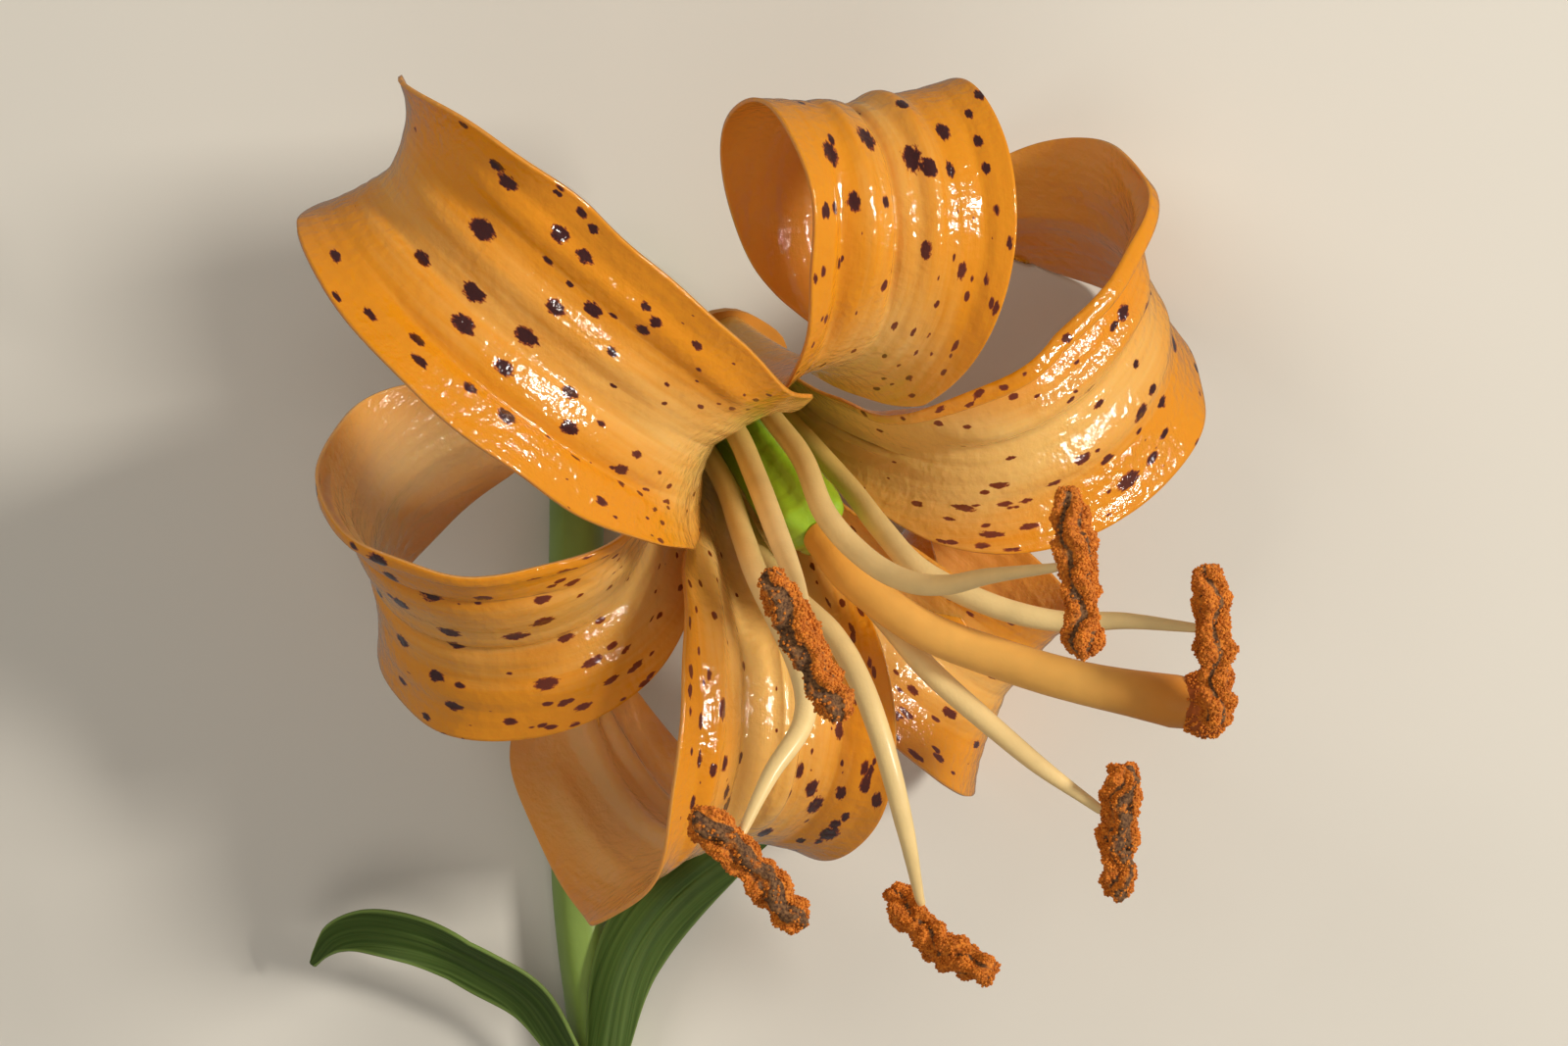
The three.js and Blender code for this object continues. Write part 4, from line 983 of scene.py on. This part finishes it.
class LILY_OT_anthers(bpy.types.Operator):
    """Build the six furrowed anthers with their coats of pollen"""
    bl_idname = "lily.anthers"
    bl_label = "Anthers"

    def execute(self, context):
        sizes, colours = context.scene.lily_sizes, context.scene.lily_colours
        wall, dust = anther_material(colours), pollen_material(colours)
        cord, coat = cord_tree(), pollen_tree()
        stops = np.linspace(0, 1, ANTHER_POINTS)
        run = stops * ANTHER_LENGTH
        for number, (_, anther, way, _) in enumerate(STAMENS, 1):
            turn, front, bare, bow = ANTHER_LOOKS[number - 1]
            way = unit(np.array(way, float))
            points = np.array(anther) + way * (stops[:, None] - 0.5) * ANTHER_LENGTH
            points = points + np.outer(1 - (2 * stops - 1) ** 2, bow)
            lumpy = 1 + ANTHER_LUMPS * waves(number, run, [6.1, 3.3, 1.9])
            girths = rounded_ends(points, ANTHER_GIRTH * lumpy * smooth(ANTHER_SWELL, stops))
            twist = ANTHER_TWIST * waves(number + 20, run, [9, 4.3])
            piece = grow(cord_mesh("anther", points, girths, twist, bare), f"dusted_anther_{number}", [
                (cord, {"Sides": 56, "Lobes": 4.0, "Lobe depth": ANTHER_LOBES, "Turn": turn, "Front": front,
                        "Ripple": 0.8 * MM, "Ripple size": 0.8 * MM, "Skin": wall}),
                (coat, {"Density": sizes.pollen_density, "Grain": sizes.grain, "Seed": number,
                        "Pollen": dust})])
            settle(piece, f"anther_{number}")
        return {"FINISHED"}


class LILY_OT_pistil(bpy.types.Operator):
    """Build the ribbed ovary, the style and the dusted stigma"""
    bl_idname = "lily.pistil"
    bl_label = "Pistil"

    def execute(self, context):
        sizes, colours = context.scene.lily_sizes, context.scene.lily_colours
        cord, coat = cord_tree(), pollen_tree()
        green = cord_material("juicy ovary wall", "86b02a", colours.ovary, split=(0.0, 0.8), rough=0.3,
                              coat=1.0, cell=0.8, relief=0.15, subsurface=0.3)
        heights = np.linspace(0, OVARY_HEIGHT, PISTIL_POINTS)
        points = np.outer(heights, AXIS)
        girths = rounded_ends(points, smooth(OVARY_OUTLINE, heights), start=False)
        piece = grow(cord_mesh("ovary", points, girths), "ribbed_ovary", [(cord, {
            "Sides": 48, "Lobes": 6.0, "Lobe depth": OVARY_LOBES, "Ripple": 0.2 * MM, "Ripple size": 1.1 * MM,
            "Skin": green})])
        settle(piece, "ovary")
        # the style turns a deeper orange from about three quarters of its length towards the stigma, which is
        # painted shade; it goes on a little at both ends, into the ovary's top and the stigma
        column = cord_material("smooth style tissue", "e6a444", colours.style, split=(0.0, 0.4), rough=0.45,
                               coat=0.2, cell=0.3, relief=0.03, last="d48a34")
        stops = np.linspace(0, 1, PISTIL_POINTS)
        points = path_through(STYLE_ROUTE, stops)
        points = np.vstack([points[0] - STYLE_RUN_ON * AXIS, points,
                            np.array(STIGMA_PLACE) - (STYLE_RUN_ON, 0, 0)])
        girths = np.concatenate([STYLE_ENDS[:1], smooth(STYLE_RADIUS, stops), STYLE_ENDS[1:]])
        piece = grow(cord_mesh("style", points, girths), "style_column", [(cord, {
            "Sides": 32, "Lobes": 3.0, "Lobe depth": 0.03, "Ripple": 0.05 * MM, "Ripple size": 2 * MM,
            "Skin": column})])
        settle(piece, "style")
        knob = cord_material("stigma tissue", "a0521c", "a0521c", split=(0.0, 1.0), rough=0.6, coat=0.1,
                             cell=0.3, relief=0.1)
        stops = np.linspace(0, 1, STIGMA_POINTS)
        points = np.array(STIGMA_PLACE) + np.outer(STIGMA_START + STIGMA_LENGTH * stops, (1, 0, 0))
        girths = rounded_ends(points, STIGMA_GIRTH * smooth(STIGMA_RADIUS, stops), start=False)
        piece = grow(cord_mesh("stigma", points, girths), "dusted_stigma", [
            (cord, {"Sides": 36, "Lobes": 3.0, "Lobe depth": 0.08, "Turn": 0.5, "Ripple": 0.3 * MM,
                    "Ripple size": 1.2 * MM, "Skin": knob}),
            (coat, {"Density": sizes.pollen_density * STIGMA_POLLEN, "Grain": sizes.grain, "Seed": 11,
                    "Pollen": pollen_material(colours)})])
        settle(piece, "stigma")
        return {"FINISHED"}


class LILY_OT_stem(bpy.types.Operator):
    """Build the stem with the receptacle that it widens into"""
    bl_idname = "lily.stem"
    bl_label = "Stem"

    def execute(self, context):
        colours = context.scene.lily_colours
        skin = cord_material("green stem skin", colours.stem, "d09038", split=(0.93, 0.985), rough=0.45,
                             coat=0.25, cell=0.5, relief=0.05)
        neck = [AXIS * (d - GAP) for d in (-NECK_LENGTH, -NECK_LENGTH / 2, 0)]
        # the neck takes up the route's last two spans, and has finer steps
        neck_span = 2 / (len(STEM_ROUTE) + 2)
        stops = np.concatenate([np.linspace(0, 1 - neck_span, STEM_POINTS)[:-1],
                                np.linspace(1 - neck_span, 1, NECK_POINTS)])
        points = path_through(STEM_ROUTE + neck, stops)
        girths = smooth(STEM_FLARE, (1 - stops) / neck_span * NECK_LENGTH)
        piece = grow(cord_mesh("stem", points, girths), "green_stem", [(cord_tree(), {
            "Sides": 40, "Lobes": 6.0, "Lobe depth": 0.02, "Ripple": 0.1 * MM, "Ripple size": 4 * MM,
            "Skin": skin})])
        settle(piece, "stem")
        return {"FINISHED"}


class LILY_OT_leaves(bpy.types.Operator):
    """Build the two narrow leaves"""
    bl_idname = "lily.leaves"
    bl_label = "Leaves"

    def execute(self, context):
        sizes = context.scene.lily_sizes
        skin = leaf_material(context.scene.lily_colours)
        tree = blade_tree()
        for name, leaf in LEAVES.items():
            source = surface_mesh(name, *leaf_surface(leaf), sizes.leaf_thickness / MM / 2)
            piece = grow(source, "veined_" + name, [(tree, {
                "Thickness": sizes.leaf_thickness, "Margin thickness": 0.3 * MM, "Vein pitch": 0.8 * MM,
                "Vein height": 0.02 * MM, "Fold height": 0.06 * MM, "Midrib depth": 0.3 * MM,
                "Midrib width": 0.5 * MM, "Skin": skin})])
            settle(piece, name)
        return {"FINISHED"}


class LILY_OT_stage(bpy.types.Operator):
    """Lay the pale floor and set the soft lights and the camera"""
    bl_idname = "lily.stage"
    bl_label = "Stage"

    def execute(self, context):
        scene = context.scene
        mesh = bpy.data.meshes.new("floor")
        corners = [(x * FLOOR_HALF, y * FLOOR_HALF, 0) for x, y in ((-1, -1), (1, -1), (1, 1), (-1, 1))]
        mesh.from_pydata(corners, [], [(0, 1, 2, 3)])
        floor = bpy.data.objects.new("floor", mesh)
        scene.collection.objects.link(floor)
        paper, _ = new_material("matt paper", Roughness=0.9, Base_Color=rgba(scene.lily_colours.floor))
        mesh.materials.append(paper)
        # only the key light is mirrored, because another light's reflection veils the petals
        floor.visible_glossy = False
        for name, place, power, size in LIGHTS:
            light = bpy.data.lights.new(name, "AREA")
            light.energy = power
            light.color = LIGHT_COLOUR
            light.size = size
            lamp = bpy.data.objects.new(name, light)
            lamp.location = place
            lamp.visible_glossy = name == "key"
            aim = Vector(LIT_PLACE) - Vector(place)
            lamp.rotation_euler = aim.to_track_quat("-Z", "Y").to_euler()
            scene.collection.objects.link(lamp)
        world = bpy.data.worlds.new("studio")
        world.use_nodes = True
        background = world.node_tree.nodes["Background"].inputs
        background["Color"].default_value = rgba("f2efe8")
        background["Strength"].default_value = 0.2
        scene.world = world
        scene.view_settings.view_transform = "Standard"
        data = bpy.data.cameras.new("camera")
        data.lens = CAMERA_LENS
        data.sensor_width = 36
        camera = bpy.data.objects.new("camera", data)
        camera.location = CAMERA_PLACE
        scene.collection.objects.link(camera)
        scene.camera = camera
        return {"FINISHED"}


class LILY_PT_sidebar(bpy.types.Panel):
    """Lists the lily's pieces and settings"""
    bl_idname = "LILY_PT_sidebar"
    bl_label = "Lily"
    bl_space_type = "VIEW_3D"
    bl_region_type = "UI"
    bl_category = "Lily"

    def draw(self, context):
        for step in STEPS:
            self.layout.operator("lily." + step)
        for group in (context.scene.lily_sizes, context.scene.lily_colours):
            box = self.layout.box()
            for key in group.__annotations__:
                box.prop(group, key)


STEPS = ("tepals", "filaments", "anthers", "pistil", "stem", "leaves", "stage")
CLASSES = (LilySizes, LilyColours, LILY_OT_tepals, LILY_OT_filaments, LILY_OT_anthers, LILY_OT_pistil,
           LILY_OT_stem, LILY_OT_leaves, LILY_OT_stage, LILY_PT_sidebar)


def register():
    for item in CLASSES:
        bpy.utils.register_class(item)
    bpy.types.Scene.lily_sizes = PointerProperty(type=LilySizes)
    bpy.types.Scene.lily_colours = PointerProperty(type=LilyColours)


def unregister():
    del bpy.types.Scene.lily_colours
    del bpy.types.Scene.lily_sizes
    for item in reversed(CLASSES):
        bpy.utils.unregister_class(item)


def main():
    register()
    for step in STEPS:
        getattr(bpy.ops.lily, step)()


if __name__ == "__main__":
    main()
